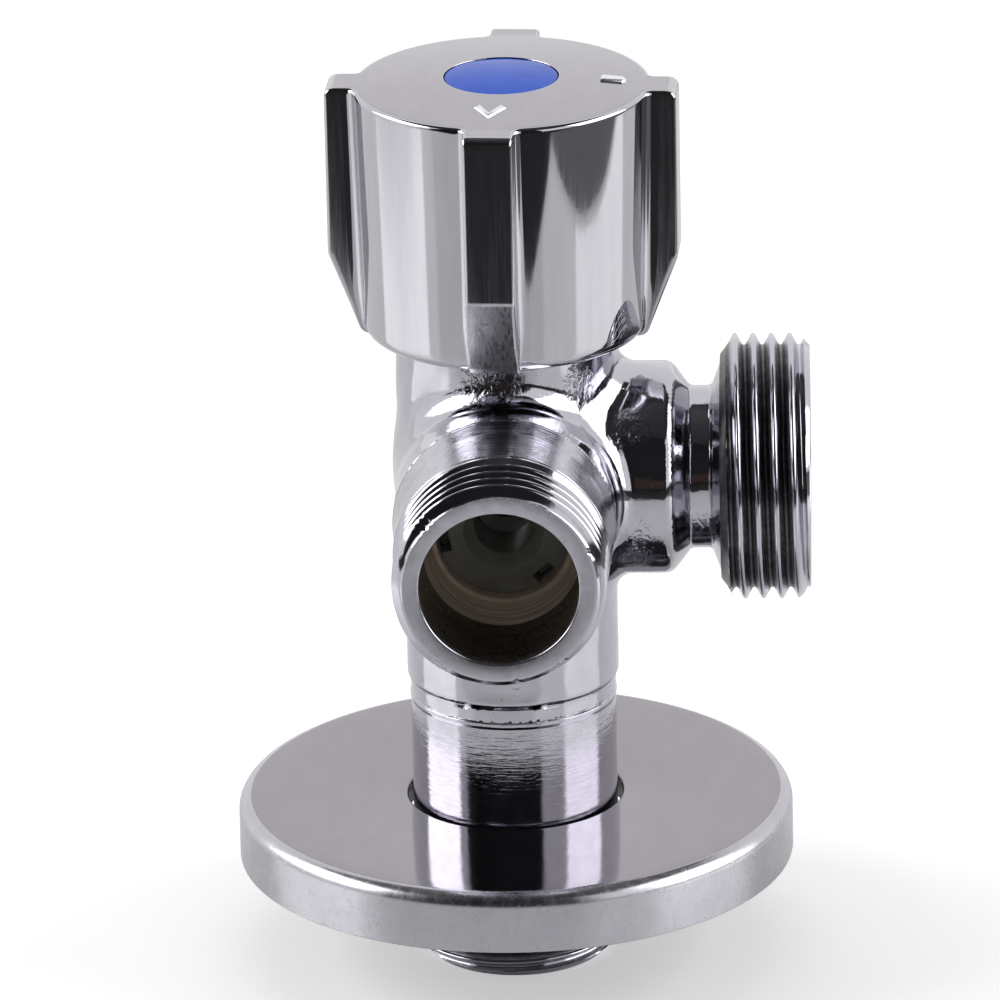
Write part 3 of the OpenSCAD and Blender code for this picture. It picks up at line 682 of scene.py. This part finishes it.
def body_front_end(columns=192):
    """Taper, collar, half inch thread, mouth bore and brass cone of the front outlet."""
    collar_r, collar_l, thread_l = 10.62, 18.6, 25.0
    lead, bore_r, bore_l, cone_r, cone_l = 0.9, 7.75, FRONT_L - 10.3, 7.0, 18.8

    def shape(radius, along):
        end = HALF_R - lead + (FRONT_L - along)
        runout = HALF_R - THREAD_H + THREAD_H * (1 - (along - thread_l) / 1.3)
        return np.minimum(np.maximum(radius, np.minimum(runout, HALF_R)), end)

    thread = thread_rows(
        HALF_R, thread_l, FRONT_L, crest_at=32.2, crest_turn=0.25, shape=shape, columns=columns
    )
    outside = rounded([
        (SEAT_R, FRONT_CAST_L - 0.8),
        (FRONT_R - 0.05, FRONT_CAST_L - 0.8),
        (FRONT_R - 0.05, FRONT_CAST_L + 0.15, 0.1),
        (collar_r, collar_l, 0.6),
        (collar_r, thread_l - 0.35, 0.12),
        (HALF_R, thread_l - 0.1),
    ])
    face = rounded([
        (HALF_R - lead - 0.25, FRONT_L),
        (bore_r, FRONT_L, 0.24),
        (bore_r, FRONT_L - 1.0),
    ])
    mouth = [(bore_r, FRONT_L - 1.0), (bore_r, bore_l + 0.05)]
    cone = rounded([(bore_r, bore_l), (bore_r, bore_l - 0.02), (cone_r, cone_l, 0.1), (SEAT_R, cone_l)])
    parts = [
        (*plain_rows(outside, columns), 0),
        (*thread, 1),
        (*plain_rows(face, columns), 2),
        (*plain_rows(mouth, columns), 3),
        (*plain_rows(cone, columns), 4),
    ]
    looks = ("collar", "thread_front", "face_front", "mouth", "cone")
    materials = [MATERIALS[k] for k in looks]
    piece = turned("body_front_end", TO_FRONT, parts, "body", materials, columns)
    knock(piece, TO_FRONT, [
        (137, 33.0, 9.9, 0.75, 0.42),
        (118, 33.1, 10.0, 0.4, 0.25),
        (23, 33.2, 9.7, 0.4, 0.22),
        (-52, 33.1, 9.8, 0.5, 0.2),
        (-128, 33.0, 9.9, 0.4, 0.2),
        (-80, 33.2, 9.6, 0.6, 0.16),
    ])
    return piece


def body_right_end(columns=224):
    """Three quarter inch thread and bore of the right outlet."""
    lead, bore_r, bore_l = 1.2, 8.9, RIGHT_L - 7.6

    def shape(radius, along):
        end = THREE_R - lead + (RIGHT_L - along)
        start = THREE_R - lead + (along - FLARE_END) * 1.9
        return np.minimum(np.minimum(radius, end), start)

    thread = thread_rows(
        THREE_R, FLARE_END, RIGHT_L, crest_at=24.47, crest_turn=0.25, shape=shape, columns=columns
    )
    outside = [(SEAT_R, FLARE_END - 0.6), (11.2, FLARE_END - 0.6), (THREE_R - 1.3, FLARE_END - 0.02)]
    face = rounded([
        (THREE_R - lead - 0.3, RIGHT_L),
        (bore_r, RIGHT_L, 0.25),
        (bore_r, bore_l, 0.1),
        (SEAT_R, bore_l - 1.5),
    ])
    parts = [
        (*plain_rows(outside, columns), 0),
        (*thread, 0),
        (*plain_rows(face, columns), 1),
    ]
    materials = [MATERIALS["thread_right"], MATERIALS["face_right"]]
    return turned("body_right_end", TO_RIGHT, parts, "body", materials, columns)


def body_inlet(columns=192):
    """Neck and half inch thread of the inlet, which the wall elbow takes."""
    lead, thread_l, inner_r = 1.5, 13.0, INLET_R

    def shape(radius, along):
        end = HALF_R - lead - along
        runout = HALF_R - THREAD_H + THREAD_H * (along + thread_l) / -1.6 + THREAD_H
        return np.minimum(np.maximum(radius, np.minimum(runout, HALF_R)), end)

    thread = thread_rows(
        HALF_R, -thread_l, 0.0, crest_at=-2.0, crest_turn=0.5, shape=shape, columns=columns
    )
    neck = rounded([
        (inner_r, -STEP_H - 1.5),
        (NECK_R - 0.6, -STEP_H - 1.5),
        (NECK_R - 0.6, -STEP_H - 0.4),
        (NECK_R + 0.06, -STEP_H + 0.05, 0.1),
        (NECK_R + 0.06, -STEP_H + 0.4, 0.2),
        (NECK_R, -STEP_H + 0.7, 0.4),
        (NECK_R, -thread_l - 0.5, 0.2),
        (HALF_R - 0.1, -thread_l - 0.1, 0.1),
        (HALF_R, -thread_l),
    ])
    face = rounded([
        (HALF_R - lead - 0.2, 0.0),
        (inner_r + 0.6, 0.0, 0.1),
        (inner_r, -0.6, 0.2),
        (inner_r, -STEP_H - 1.4),
    ])
    parts = [
        (*plain_rows(neck, columns), 0),
        (*thread, 1),
        (*plain_rows(face, columns), 2),
    ]
    materials = [MATERIALS["neck"], MATERIALS["thread_inlet"], MATERIALS["face_down"]]
    return turned("body_inlet", DOWN, parts, "body", materials, columns)


# Knob


def knob_section(barrel_r, reach, half, fillet, edge):
    """Outline of the knob at one height, as angles counted from the first rib's centre."""
    proud = max(reach - barrel_r, 0.02)
    fillet = min(fillet, 0.6 * proud + 0.02)
    edge = min(edge, 0.3 * proud)
    fillet_y = half + fillet
    fillet_x = math.sqrt((barrel_r + fillet) ** 2 - fillet_y**2)
    side = []
    for t in np.linspace(0, 1, 7)[:-1]:
        side.append((reach, t * (half - edge)))
    for a in np.linspace(0, math.pi / 2, 6):
        side.append((reach - edge + edge * math.cos(a), half - edge + edge * math.sin(a)))
    for t in np.linspace(0, 1, 6)[1:-1]:
        side.append((reach - edge + t * (fillet_x - reach + edge), half))
    start, end = -math.pi / 2, math.atan2(-fillet_y, -fillet_x)
    for a in np.linspace(start, end, 9):
        side.append((fillet_x + fillet * math.cos(a), fillet_y + fillet * math.sin(a)))
    first = math.atan2(fillet_y, fillet_x)
    for a in np.linspace(first, math.pi / 4, 22)[1:]:
        side.append((barrel_r * math.cos(a), barrel_r * math.sin(a)))
    upper = np.array(side)
    lower = upper[::-1][1:-1] * (1, -1)
    sector = np.concatenate([upper, lower @ np.array([[0, 1], [-1, 0]])])
    whole = []
    for quarter in range(4):
        a = quarter * math.pi / 2 + KNOB_PHASE
        whole.append(sector @ np.array([[math.cos(a), math.sin(a)], [-math.sin(a), math.cos(a)]]))
    return np.concatenate(whole)


def knob_levels():
    """Height, barrel radius and rib reach of each level, from the foot to the top's edge."""
    levels = []
    foot_round, edge_round, rib_round, rib_foot_round, bend = 1.3, 0.45, 0.9, 0.6, 0.1
    height = KNOB_TOP - KNOB_FOOT
    upright = [0.0, 0.04, 0.1, 0.2, 0.35, 0.55, 0.8, 1.05, 1.3, 1.8, 2.6, 3.6, 4.8, 6.0, 7.0, 7.6, 7.9]
    upright += [8.1, 8.2, 8.3, 8.4, 8.5, 8.7, 9.0, 10.0, 12.0, 15.0, 18.0, 21.0, 23.0, 24.2]
    upright += [height - s for s in (0.9, 0.75, 0.6, edge_round)]
    for z in upright:
        t = (z - foot_round) / (height - foot_round)
        barrel = KNOB_FOOT_R + (KNOB_TOP_R - KNOB_FOOT_R) * max(t, 0)
        if z < foot_round:
            barrel -= foot_round - math.sqrt(foot_round**2 - (foot_round - z) ** 2)
        slope = KNOB_FOOT_R + (RIB_REACH - KNOB_FOOT_R) * z / RIB_SLOPE
        reach = min(slope, RIB_REACH) - 0.25 * max(bend - abs(slope - RIB_REACH), 0) ** 2 / bend
        if z < rib_foot_round:
            reach -= rib_foot_round - math.sqrt(rib_foot_round**2 - (rib_foot_round - z) ** 2)
        over = z - (height - rib_round)
        if over > 0:
            reach -= rib_round - math.sqrt(rib_round**2 - over**2)
        levels.append((KNOB_FOOT + z, barrel, reach, 0.0))
    for a in np.linspace(0, math.radians(84), 6)[1:]:
        inset = edge_round * (1 - math.cos(a))
        z = height - edge_round + edge_round * math.sin(a)
        over = min(z - (height - rib_round), rib_round)
        reach = RIB_REACH - rib_round + math.sqrt(max(rib_round**2 - over**2, 0))
        levels.append((KNOB_FOOT + z, KNOB_TOP_R - inset, reach, inset))
    return levels


def crown_height(r):
    """Height of the knob's slightly domed top at a radius."""
    sphere_r = (KNOB_TOP_R**2 + KNOB_CROWN**2) / (2 * KNOB_CROWN)
    return KNOB_TOP + KNOB_CROWN - sphere_r + np.sqrt(sphere_r**2 - np.minimum(r, KNOB_TOP_R) ** 2)


def knob_shell(materials):
    """Knob with its ribs, domed top, cap recess, screw seat, spline bore, hub and hollow."""
    recess_r, recess_depth = CAP_R - 0.02, 1.6
    head_r, seat_h, hole_r, floor_foot = 4.2, 84.2, 2.2, 82.0
    bore_r, hub_r, hub_foot, plate_foot = 3.9, 6.4, 74.3, KNOB_TOP - 3.0
    face_columns, rib_columns = 9, 15
    rings = []
    for z, barrel, reach, inset in knob_levels():
        flat = knob_section(barrel, reach, RIB_HALF - inset * 0.6, 1.0, 0.35)
        rings.append(np.column_stack([flat, np.full(len(flat), z)]))
    outer = rings[-1]
    angle = np.arctan2(outer[:, 1], outer[:, 0])
    side_rings = len(rings)
    far = np.hypot(outer[:, 0], outer[:, 1])
    blend = (0.15, 0.35, 0.6, 0.8, 1.0)
    for t in blend:
        r = far + (KNOB_TOP_R - 1.4 - far) * t
        rings.append(np.column_stack([r * np.cos(angle), r * np.sin(angle), crown_height(r)]))
    crown = np.linspace(KNOB_TOP_R - 2.4, recess_r + 0.6, 8)
    for r in crown:
        full = np.full(len(angle), r)
        rings.append(np.column_stack([r * np.cos(angle), r * np.sin(angle), crown_height(full)]))
    rim = float(crown_height(np.array(recess_r)))
    inner = rounded([
        (recess_r + 0.6, float(crown_height(np.array(recess_r + 0.6)))),
        (recess_r + 0.16, float(crown_height(np.array(recess_r + 0.16)))),
        (recess_r, rim, 0.1),
        (recess_r, rim - recess_depth, 0.1),
        (head_r, rim - recess_depth, 0.1),
        (head_r, seat_h),
        (hole_r, seat_h),
        (hole_r, floor_foot),
        (bore_r, floor_foot),
        (bore_r, hub_foot),
        (hub_r, hub_foot, 0.3),
        (hub_r, plate_foot, 0.4),
        (12.0, plate_foot, 1.0),
        (13.0, KNOB_TOP - 4.6, 1.0),
        (12.5, KNOB_FOOT + 2.0),
        (12.4, KNOB_FOOT + 0.2, 0.2),
        (12.6, KNOB_FOOT),
    ])
    for r, z in inner[1:]:
        rings.append(np.column_stack([r * np.cos(angle), r * np.sin(angle), np.full(len(angle), z)]))
    verts = np.concatenate(rings) * MM
    rows, cols = len(rings), len(angle)
    i, j = np.meshgrid(np.arange(rows), np.arange(cols), indexing="ij")
    a = (i * cols + j).ravel()
    b = (i * cols + (j + 1) % cols).ravel()
    c = ((i + 1) % rows * cols + (j + 1) % cols).ravel()
    d = ((i + 1) % rows * cols + j).ravel()
    mesh = bpy.data.meshes.new("knob_shell")
    mesh.from_pydata(verts, [], np.stack([a, b, c, d], axis=1))
    look = np.zeros((rows, cols), int)
    look[side_rings - 1:side_rings + len(blend) + len(crown) + 1] = 1
    sector = cols // 4
    on_face = (np.arange(cols) + face_columns) % sector < 2 * face_columns
    on_rib = (np.arange(cols) + rib_columns) % sector < 2 * rib_columns
    look[:side_rings - 1, on_rib] = 3
    slopes = sum(level[0] < KNOB_FOOT + RIB_SLOPE - 0.05 for level in knob_levels())
    look[:slopes, on_face] = 2
    mesh.polygons.foreach_set("material_index", look.ravel())
    tidy_mesh(mesh)
    return finish_object("knob_shell", mesh, "handle", materials, 28)


def inset_outline(points, size):
    """Anticlockwise outline moved inwards by the same distance all round."""
    ahead = np.roll(points, -1, axis=0) - points
    ahead /= np.linalg.norm(ahead, axis=1, keepdims=True)
    inward = np.column_stack([-ahead[:, 1], ahead[:, 0]])
    before = np.roll(inward, 1, axis=0)
    corner_way = (inward + before) / (1 + (inward * before).sum(axis=1))[:, None]
    return points + corner_way * size


def raised_mark(name, outline, height, materials):
    """Low mark on the knob's top with rounded shoulders; outline points are seen from above."""
    rings = []
    for inset, rise in ((-0.02, -0.3), (0.0, 0.0), (0.05, 0.45), (0.15, 0.8), (0.29, 1.0)):
        flat = inset_outline(np.array(outline), inset)
        base = crown_height(np.hypot(flat[:, 0], flat[:, 1]))
        rings.append(np.column_stack([flat, base + rise * height]))
    work = bmesh.new()
    rows = [[work.verts.new(p * MM) for p in ring] for ring in rings]
    for lower, upper in zip(rows, rows[1:]):
        for k in range(len(lower)):
            n = (k + 1) % len(lower)
            work.faces.new((lower[k], lower[n], upper[n], upper[k]))
    work.faces.new(rows[-1])
    work.faces.new(rows[0][::-1])
    bmesh.ops.recalc_face_normals(work, faces=work.faces)
    for face in work.faces:
        face.smooth = True
    mesh = bpy.data.meshes.new(name)
    work.to_mesh(mesh)
    work.free()
    return finish_object(name, mesh, "handle", materials, 40)


def on_top(direction_deg, along, across):
    """Point on the knob's top: along a direction from the stem, and across it."""
    a = math.radians(direction_deg) + KNOB_PHASE
    return (
        (MARK_R + along) * math.cos(a) - across * math.sin(a),
        (MARK_R + along) * math.sin(a) + across * math.cos(a),
    )


def knob_marks(materials):
    """Chevron towards the front port and bar towards the right one."""
    chevron = [(0.9, -0.3), (-1.6, 1.25), (-2.25, 0.7), (-0.3, -0.3), (-2.25, -1.3), (-1.6, -1.85)]
    bar = [(-1.2, -0.75), (0.95, -0.75), (1.3, -0.35), (1.3, 0.35), (0.95, 0.75), (-1.2, 0.75)]
    raised_mark("knob_mark_front", [on_top(-90, *p) for p in chevron], 0.28, materials)
    raised_mark("knob_mark_right", [on_top(0, *p) for p in bar], 0.3, materials)


def cap_disc(columns=128):
    """Blue cap with a low dome, in the knob's recess."""
    dome, disc_r = 0.35, CAP_R - 0.14
    edge = CAP_TOP - dome
    top = [(disc_r * math.sin(t), edge + dome * math.cos(t) ** 2) for t in np.linspace(1.4, 0, 12)]
    outline = rounded([(3.2, edge - 1.2), (disc_r, edge - 1.2, 0.1), (disc_r, edge, 0.15), top[0]])
    below = [(0.001, edge - 0.9), (3.2, edge - 0.9)]
    parts = [
        (*plain_rows(outline, columns), 0),
        (*plain_rows(top[1:-1] + [(0.001, CAP_TOP)], columns), 0),
        (*plain_rows(below, columns), 0),
    ]
    return turned("cap_disc", UP, parts, "handle", [MATERIALS["blue"]], columns, 40)


# Wall plate


def plate_shell(columns=256):
    """Pressed cover plate: rolled rim, flat top and a lip turned down round the hole."""
    sheet, edge, lip = 0.7, 1.5, 0.42
    hole, flange = 10.8, 2.6
    rim = rounded([
        (PLATE_R, PLATE_FOOT + 0.15),
        (PLATE_R, PLATE_TOP, edge),
        (PLATE_R - 3, PLATE_TOP),
    ], 10)
    top = rounded([
        (PLATE_R - 3, PLATE_TOP),
        (hole, PLATE_TOP - 0.02, lip),
        (hole, PLATE_TOP - flange + 0.15),
    ], 8)
    inner = rounded([
        (hole + 0.1, PLATE_TOP - flange),
        (hole + sheet, PLATE_TOP - flange + 0.15),
        (hole + sheet, PLATE_TOP - sheet, 0.4),
        (PLATE_R - sheet, PLATE_TOP - sheet, edge - sheet),
        (PLATE_R - sheet, PLATE_FOOT + 0.1, 0.05),
        (PLATE_R - sheet * 0.5, PLATE_FOOT, 0.1),
        (PLATE_R, PLATE_FOOT + 0.12),
    ], 6)
    parts = [
        (*plain_rows(rim[:-3], columns), 1),
        (*plain_rows(rim[-3:-1] + top[:-2], columns), 0),
        (*plain_rows(top[-2:] + inner, columns), 2),
    ]
    materials = [MATERIALS["plate"], MATERIALS["plate_rim"], MATERIALS["plate_inside"]]
    return turned("plate_shell", UP, parts, "plate", materials, columns, 40)


def make_materials():
    """Every material, by the look that it gives."""
    return {
        "cast": cast_chrome(),
        "neck": turned_chrome("neck_chrome", 2, 0.008, (0.05, 0.12), (17.0, 25.0)),
        "collar": turned_chrome("collar_chrome", 1, 0.018, (0.12, 0.2)),
        "face_front": turned_chrome("face_front_chrome", 1, 0.0016, (0.2, 0.28)),
        "face_right": turned_chrome("face_right_chrome", 0, 0.002, (0.13, 0.2)),
        "face_down": turned_chrome("face_down_chrome", 2, 0.002, (0.13, 0.2)),
        "thread_front": thread_chrome("thread_front_chrome", 1, HALF_R, (1.2 - FRONT_L, 0.8 - FRONT_L)),
        "thread_right": thread_chrome("thread_right_chrome", 0, THREE_R, (RIGHT_L - 1.5, RIGHT_L - 1.1)),
        "thread_inlet": thread_chrome("thread_inlet_chrome", 2, HALF_R, (1.7, 1.2)),
        "mouth": bare_brass("mouth_brass", 1, (0.16, 0.13, 0.105), (0.27, 0.225, 0.185), (0.25, 0.4)),
        # Painted light: the cone's colour is pale and partly diffuse, standing in for light that does
        # not reach it inside the bore
        "cone": bare_brass("cone_brass_painted_light", 1, (0.6, 0.5, 0.4), (0.95, 0.84, 0.72), (0.32, 0.45), 0.3),
        "knob": knob_chrome("knob_chrome", (0.03, 0.06)),
        "knob_rib": knob_chrome("knob_rib_chrome", (0.08, 0.13), 0.0, 0.0012),
        "knob_slope": knob_chrome("knob_slope_chrome", (0.24, 0.34), 0.03),
        # Painted shade: the knob's top gets a darker base colour than its sides
        "knob_top": satin_chrome(
            "knob_top_painted_shade", (0.405, 0.39, 0.422), (0.425, 0.408, 0.442), (0.1, 0.14)
        ),
        # Painted shade: the plate's flat top gets a much darker base colour than its rim
        "plate": satin_chrome("plate_chrome", (0.305, 0.285, 0.312), (0.32, 0.298, 0.327), (0.06, 0.09)),
        "plate_rim": satin_chrome(
            "plate_rim_chrome", (0.49, 0.48, 0.52), (0.52, 0.51, 0.55), (0.2, 0.3), 0.003
        ),
        # Painted highlight: the marks are far paler than chrome, standing in for the lamps' highlights
        # on them
        "mark": satin_chrome("mark_painted_highlight", (0.8, 0.79, 0.83), (0.88, 0.87, 0.91), (0.25, 0.35)),
        # Painted shade: the plate's underside and the lip inside its hole are dark
        "plate_inside": satin_chrome(
            "plate_inside_painted_shade", (0.1, 0.095, 0.1), (0.16, 0.152, 0.16), (0.35, 0.5)
        ),
        "blue": plastic(
            "blue_plastic", (0.004, 0.075, 0.56), (0.01, 0.095, 0.63), (0.12, 0.17), 0.001,
            Specular_IOR_Level=0.17,
        ),
        "nut": plastic("milky_plastic", (0.23, 0.245, 0.235), (0.3, 0.31, 0.3), (0.32, 0.45)),
        "ptfe": plastic("ptfe", (0.82, 0.82, 0.8), (0.9, 0.9, 0.88), (0.4, 0.5)),
        "rubber": plastic("seal_rubber", (0.018, 0.018, 0.02), (0.03, 0.03, 0.032), (0.45, 0.6)),
        "fibre": plastic("red_fibre", (0.3, 0.05, 0.03), (0.42, 0.08, 0.05), (0.6, 0.75), 0.02),
        "brass": turned_brass(),
        "ball": plated_ball(),
        "steel": steel(),
    }


CAD_LOOKS = {
    "ball": "ball",
    "seat_front": "ptfe",
    "seat_right": "ptfe",
    "seat_back": "ptfe",
    "seat_left": "ptfe",
    "seat_nut_front": "nut",
    "seat_nut_right": "nut",
    "thrust_washer": "ptfe",
    "glide_ring": "ptfe",
    "stem": "brass",
    "stem_o_ring_lower": "rubber",
    "stem_o_ring_upper": "rubber",
    "gland_gasket": "fibre",
    "gland_nut": "brass",
    "stop_ring": "steel",
    "lock_washer": "steel",
    "knob_screw": "steel",
}


def dress_cad_nodes():
    for node, look in CAD_LOOKS.items():
        for place in frame["nodes"][node].material_slots:
            place.material = MATERIALS[look]


# Stage, lights and camera


def flat_card(name, corners, material):
    mesh = bpy.data.meshes.new(name)
    mesh.from_pydata(corners, [], [range(len(corners))])
    mesh.materials.append(material)
    card = bpy.data.objects.new(name, mesh)
    bpy.context.scene.collection.objects.link(card)
    return card


def plain_shader(tree, colour, roughness, specular):
    shader = tree.nodes.new("ShaderNodeBsdfPrincipled")
    shader.inputs["Base Color"].default_value = (*colour, 1)
    shader.inputs["Roughness"].default_value = roughness
    shader.inputs["Specular IOR Level"].default_value = specular
    return shader


def floor_material():
    """White board: matt to the camera, with a slight sheen in the metal's reflections."""
    material = bpy.data.materials.new("floor_board")
    material.use_nodes = True
    tree = material.node_tree
    tree.nodes.remove(tree.nodes["Principled BSDF"])
    matt = plain_shader(tree, (0.85, 0.85, 0.85), 0.9, 0.1)
    sheen = plain_shader(tree, (0.84, 0.84, 0.845), 0.16, 0.5)
    glow = tree.nodes.new("ShaderNodeEmission")
    glow.inputs["Strength"].default_value = 0.38
    seen = tree.nodes.new("ShaderNodeLightPath")
    total = tree.nodes.new("ShaderNodeAddShader")
    mix = tree.nodes.new("ShaderNodeMixShader")
    output = tree.nodes["Material Output"]
    tree.links.new(matt.outputs[0], total.inputs[0])
    tree.links.new(glow.outputs[0], total.inputs[1])
    tree.links.new(seen.outputs["Is Camera Ray"], mix.inputs[0])
    tree.links.new(sheen.outputs[0], mix.inputs[1])
    tree.links.new(total.outputs[0], mix.inputs[2])
    tree.links.new(mix.outputs[0], output.inputs["Surface"])
    return material


def card_material(name, colour):
    material = bpy.data.materials.new(name)
    material.use_nodes = True
    tree = material.node_tree
    tree.nodes.remove(tree.nodes["Principled BSDF"])
    shader = plain_shader(tree, colour, 1.0, 0.0)
    tree.links.new(shader.outputs[0], tree.nodes["Material Output"].inputs["Surface"])
    return material


def upright_card(left, right, low, high, y):
    return [(left, y, low), (right, y, low), (right, y, high), (left, y, high)]


def stage():
    """White board, and cards that only reflections see."""
    floor = [(-0.6, -0.6, 0), (0.6, -0.6, 0), (0.6, 0.9, 0), (-0.6, 0.9, 0)]
    flat_card("floor", floor, floor_material())
    black = card_material("black_card", (0.035, 0.034, 0.036))
    dim = card_material("dim_card", (0.17, 0.168, 0.173))
    grey = card_material("grey_card", (0.09, 0.09, 0.095))
    brown = card_material("brown_card", (0.1, 0.065, 0.05))
    # What the metal mirrors past the board's front and right edges, and above it
    board_x, board_y, left, right, front, back = 0.152, -0.185, -1.65, 1.5, -1.2, 0.9
    past_front = [(left, front), (right, front), (right, board_y), (board_x, board_y)]
    past_front += [(0.075, -0.181), (left, -0.356)]
    past_right = [(board_x, board_y), (right, board_y), (right, back), (0.6, back)]
    past_right += [(0.245, 0.033), (0.211, -0.059)]
    overhead = [(-1.2, front), (1.2, front), (1.2, 0.84), (-1.2, 0.84)]
    cards = [
        ("card_past_front", [(x, y, 0.001) for x, y in past_front], black),
        ("card_past_right", [(x, y, 0.001) for x, y in past_right], dim),
        ("card_front", upright_card(left, 0.75, -0.6, 2.0, front), black),
        ("card_brown", upright_card(-0.7, 0.35, 0.03, 0.25, front + 0.01), brown),
        ("card_top", [(x, y, 1.5) for x, y in overhead], grey),
    ]
    for name, corners, material in cards:
        card = flat_card(name, corners, material)
        card.visible_camera = False
        card.visible_diffuse = False
        card.visible_shadow = False


def area_light(name, centre, size, facing, radiance):
    """Soft light whose power gives its surface the radiance."""
    data = bpy.data.lights.new(name, "AREA")
    data.shape = "RECTANGLE"
    data.size, data.size_y = size
    data.energy = radiance * size[0] * size[1] * math.pi
    light = bpy.data.objects.new(name, data)
    light.location = centre
    light.rotation_euler = Vector(facing).to_track_quat("-Z", "Z").to_euler()
    light.visible_camera = False
    bpy.context.scene.collection.objects.link(light)


def lights():
    area_light("softbox_left", (-0.65, -0.03, 0.45), (0.56, 0.6), (1, 0, 0), 4.5)
    area_light("softbox_right", (0.65, -0.07, 0.45), (0.76, 0.6), (-1, 0, 0), 2.9)
    area_light("overhead", (0.0, 0.4, 1.9), (1.2, 0.8), (0, -0.1, -1), 1.5)


def world():
    """White to the camera and in mirrors, and a quarter as bright as a light."""
    room = bpy.data.worlds.new("studio")
    bpy.context.scene.world = room
    room.use_nodes = True
    tree = room.node_tree
    tree.nodes["Background"].inputs["Strength"].default_value = 0.25
    bright = tree.nodes.new("ShaderNodeBackground")
    bright.inputs["Strength"].default_value = 1.0
    tree.nodes["Background"].inputs["Color"].default_value = (1, 1, 1, 1)
    bright.inputs["Color"].default_value = (1, 1, 1, 1)
    seen = tree.nodes.new("ShaderNodeLightPath")
    direct = seen.outputs["Is Camera Ray"]
    for ray in ("Is Glossy Ray", "Is Transmission Ray"):
        either = tree.nodes.new("ShaderNodeMath")
        either.operation = "MAXIMUM"
        tree.links.new(direct, either.inputs[0])
        tree.links.new(seen.outputs[ray], either.inputs[1])
        direct = either.outputs[0]
    mix = tree.nodes.new("ShaderNodeMixShader")
    tree.links.new(direct, mix.inputs[0])
    tree.links.new(tree.nodes["Background"].outputs[0], mix.inputs[1])
    tree.links.new(bright.outputs[0], mix.inputs[2])
    tree.links.new(mix.outputs[0], tree.nodes["World Output"].inputs["Surface"])


def camera():
    """Camera at the photograph's angle, about the point where the three axes cross."""
    azimuth, elevation, roll = (math.radians(v) for v in (2.225, 20.886, -1.2))
    distance, focal_px, picture_px = 1036.1, 10401.6, 1000
    aim_right, aim_up = 0.911, 3.244
    back = Vector((
        math.sin(azimuth) * math.cos(elevation),
        -math.cos(azimuth) * math.cos(elevation),
        math.sin(elevation),
    ))
    level = Vector((math.cos(azimuth), math.sin(azimuth), 0))
    upright = back.cross(level)
    right = level * math.cos(roll) + upright * math.sin(roll)
    up = upright * math.cos(roll) - level * math.sin(roll)
    crossing = Vector((0, 0, AXIS_H))
    where = crossing - right * aim_right - up * aim_up + back * distance
    data = bpy.data.cameras.new("camera")
    data.sensor_width = 36
    data.lens = focal_px / picture_px * data.sensor_width
    data.clip_start = 0.05
    eye = bpy.data.objects.new("camera", data)
    turn = Matrix((right, up, back)).transposed()
    eye.matrix_world = Matrix.Translation(where * MM) @ turn.to_4x4()
    bpy.context.scene.collection.objects.link(eye)
    bpy.context.scene.camera = eye


MATERIALS = make_materials()

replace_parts(body_casting([MATERIALS["cast"]]), "valve_body")
body_front_end()
body_right_end()
body_inlet()
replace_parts(knob_shell([MATERIALS[k] for k in ("knob", "knob_top", "knob_slope", "knob_rib")]), "knob")
knob_marks([MATERIALS["mark"]])
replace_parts(cap_disc(), "knob_cap")
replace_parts(plate_shell(), "wall_plate")
dress_cad_nodes()

stage()
lights()
world()
camera()

bpy.context.scene.view_settings.view_transform = "Standard"
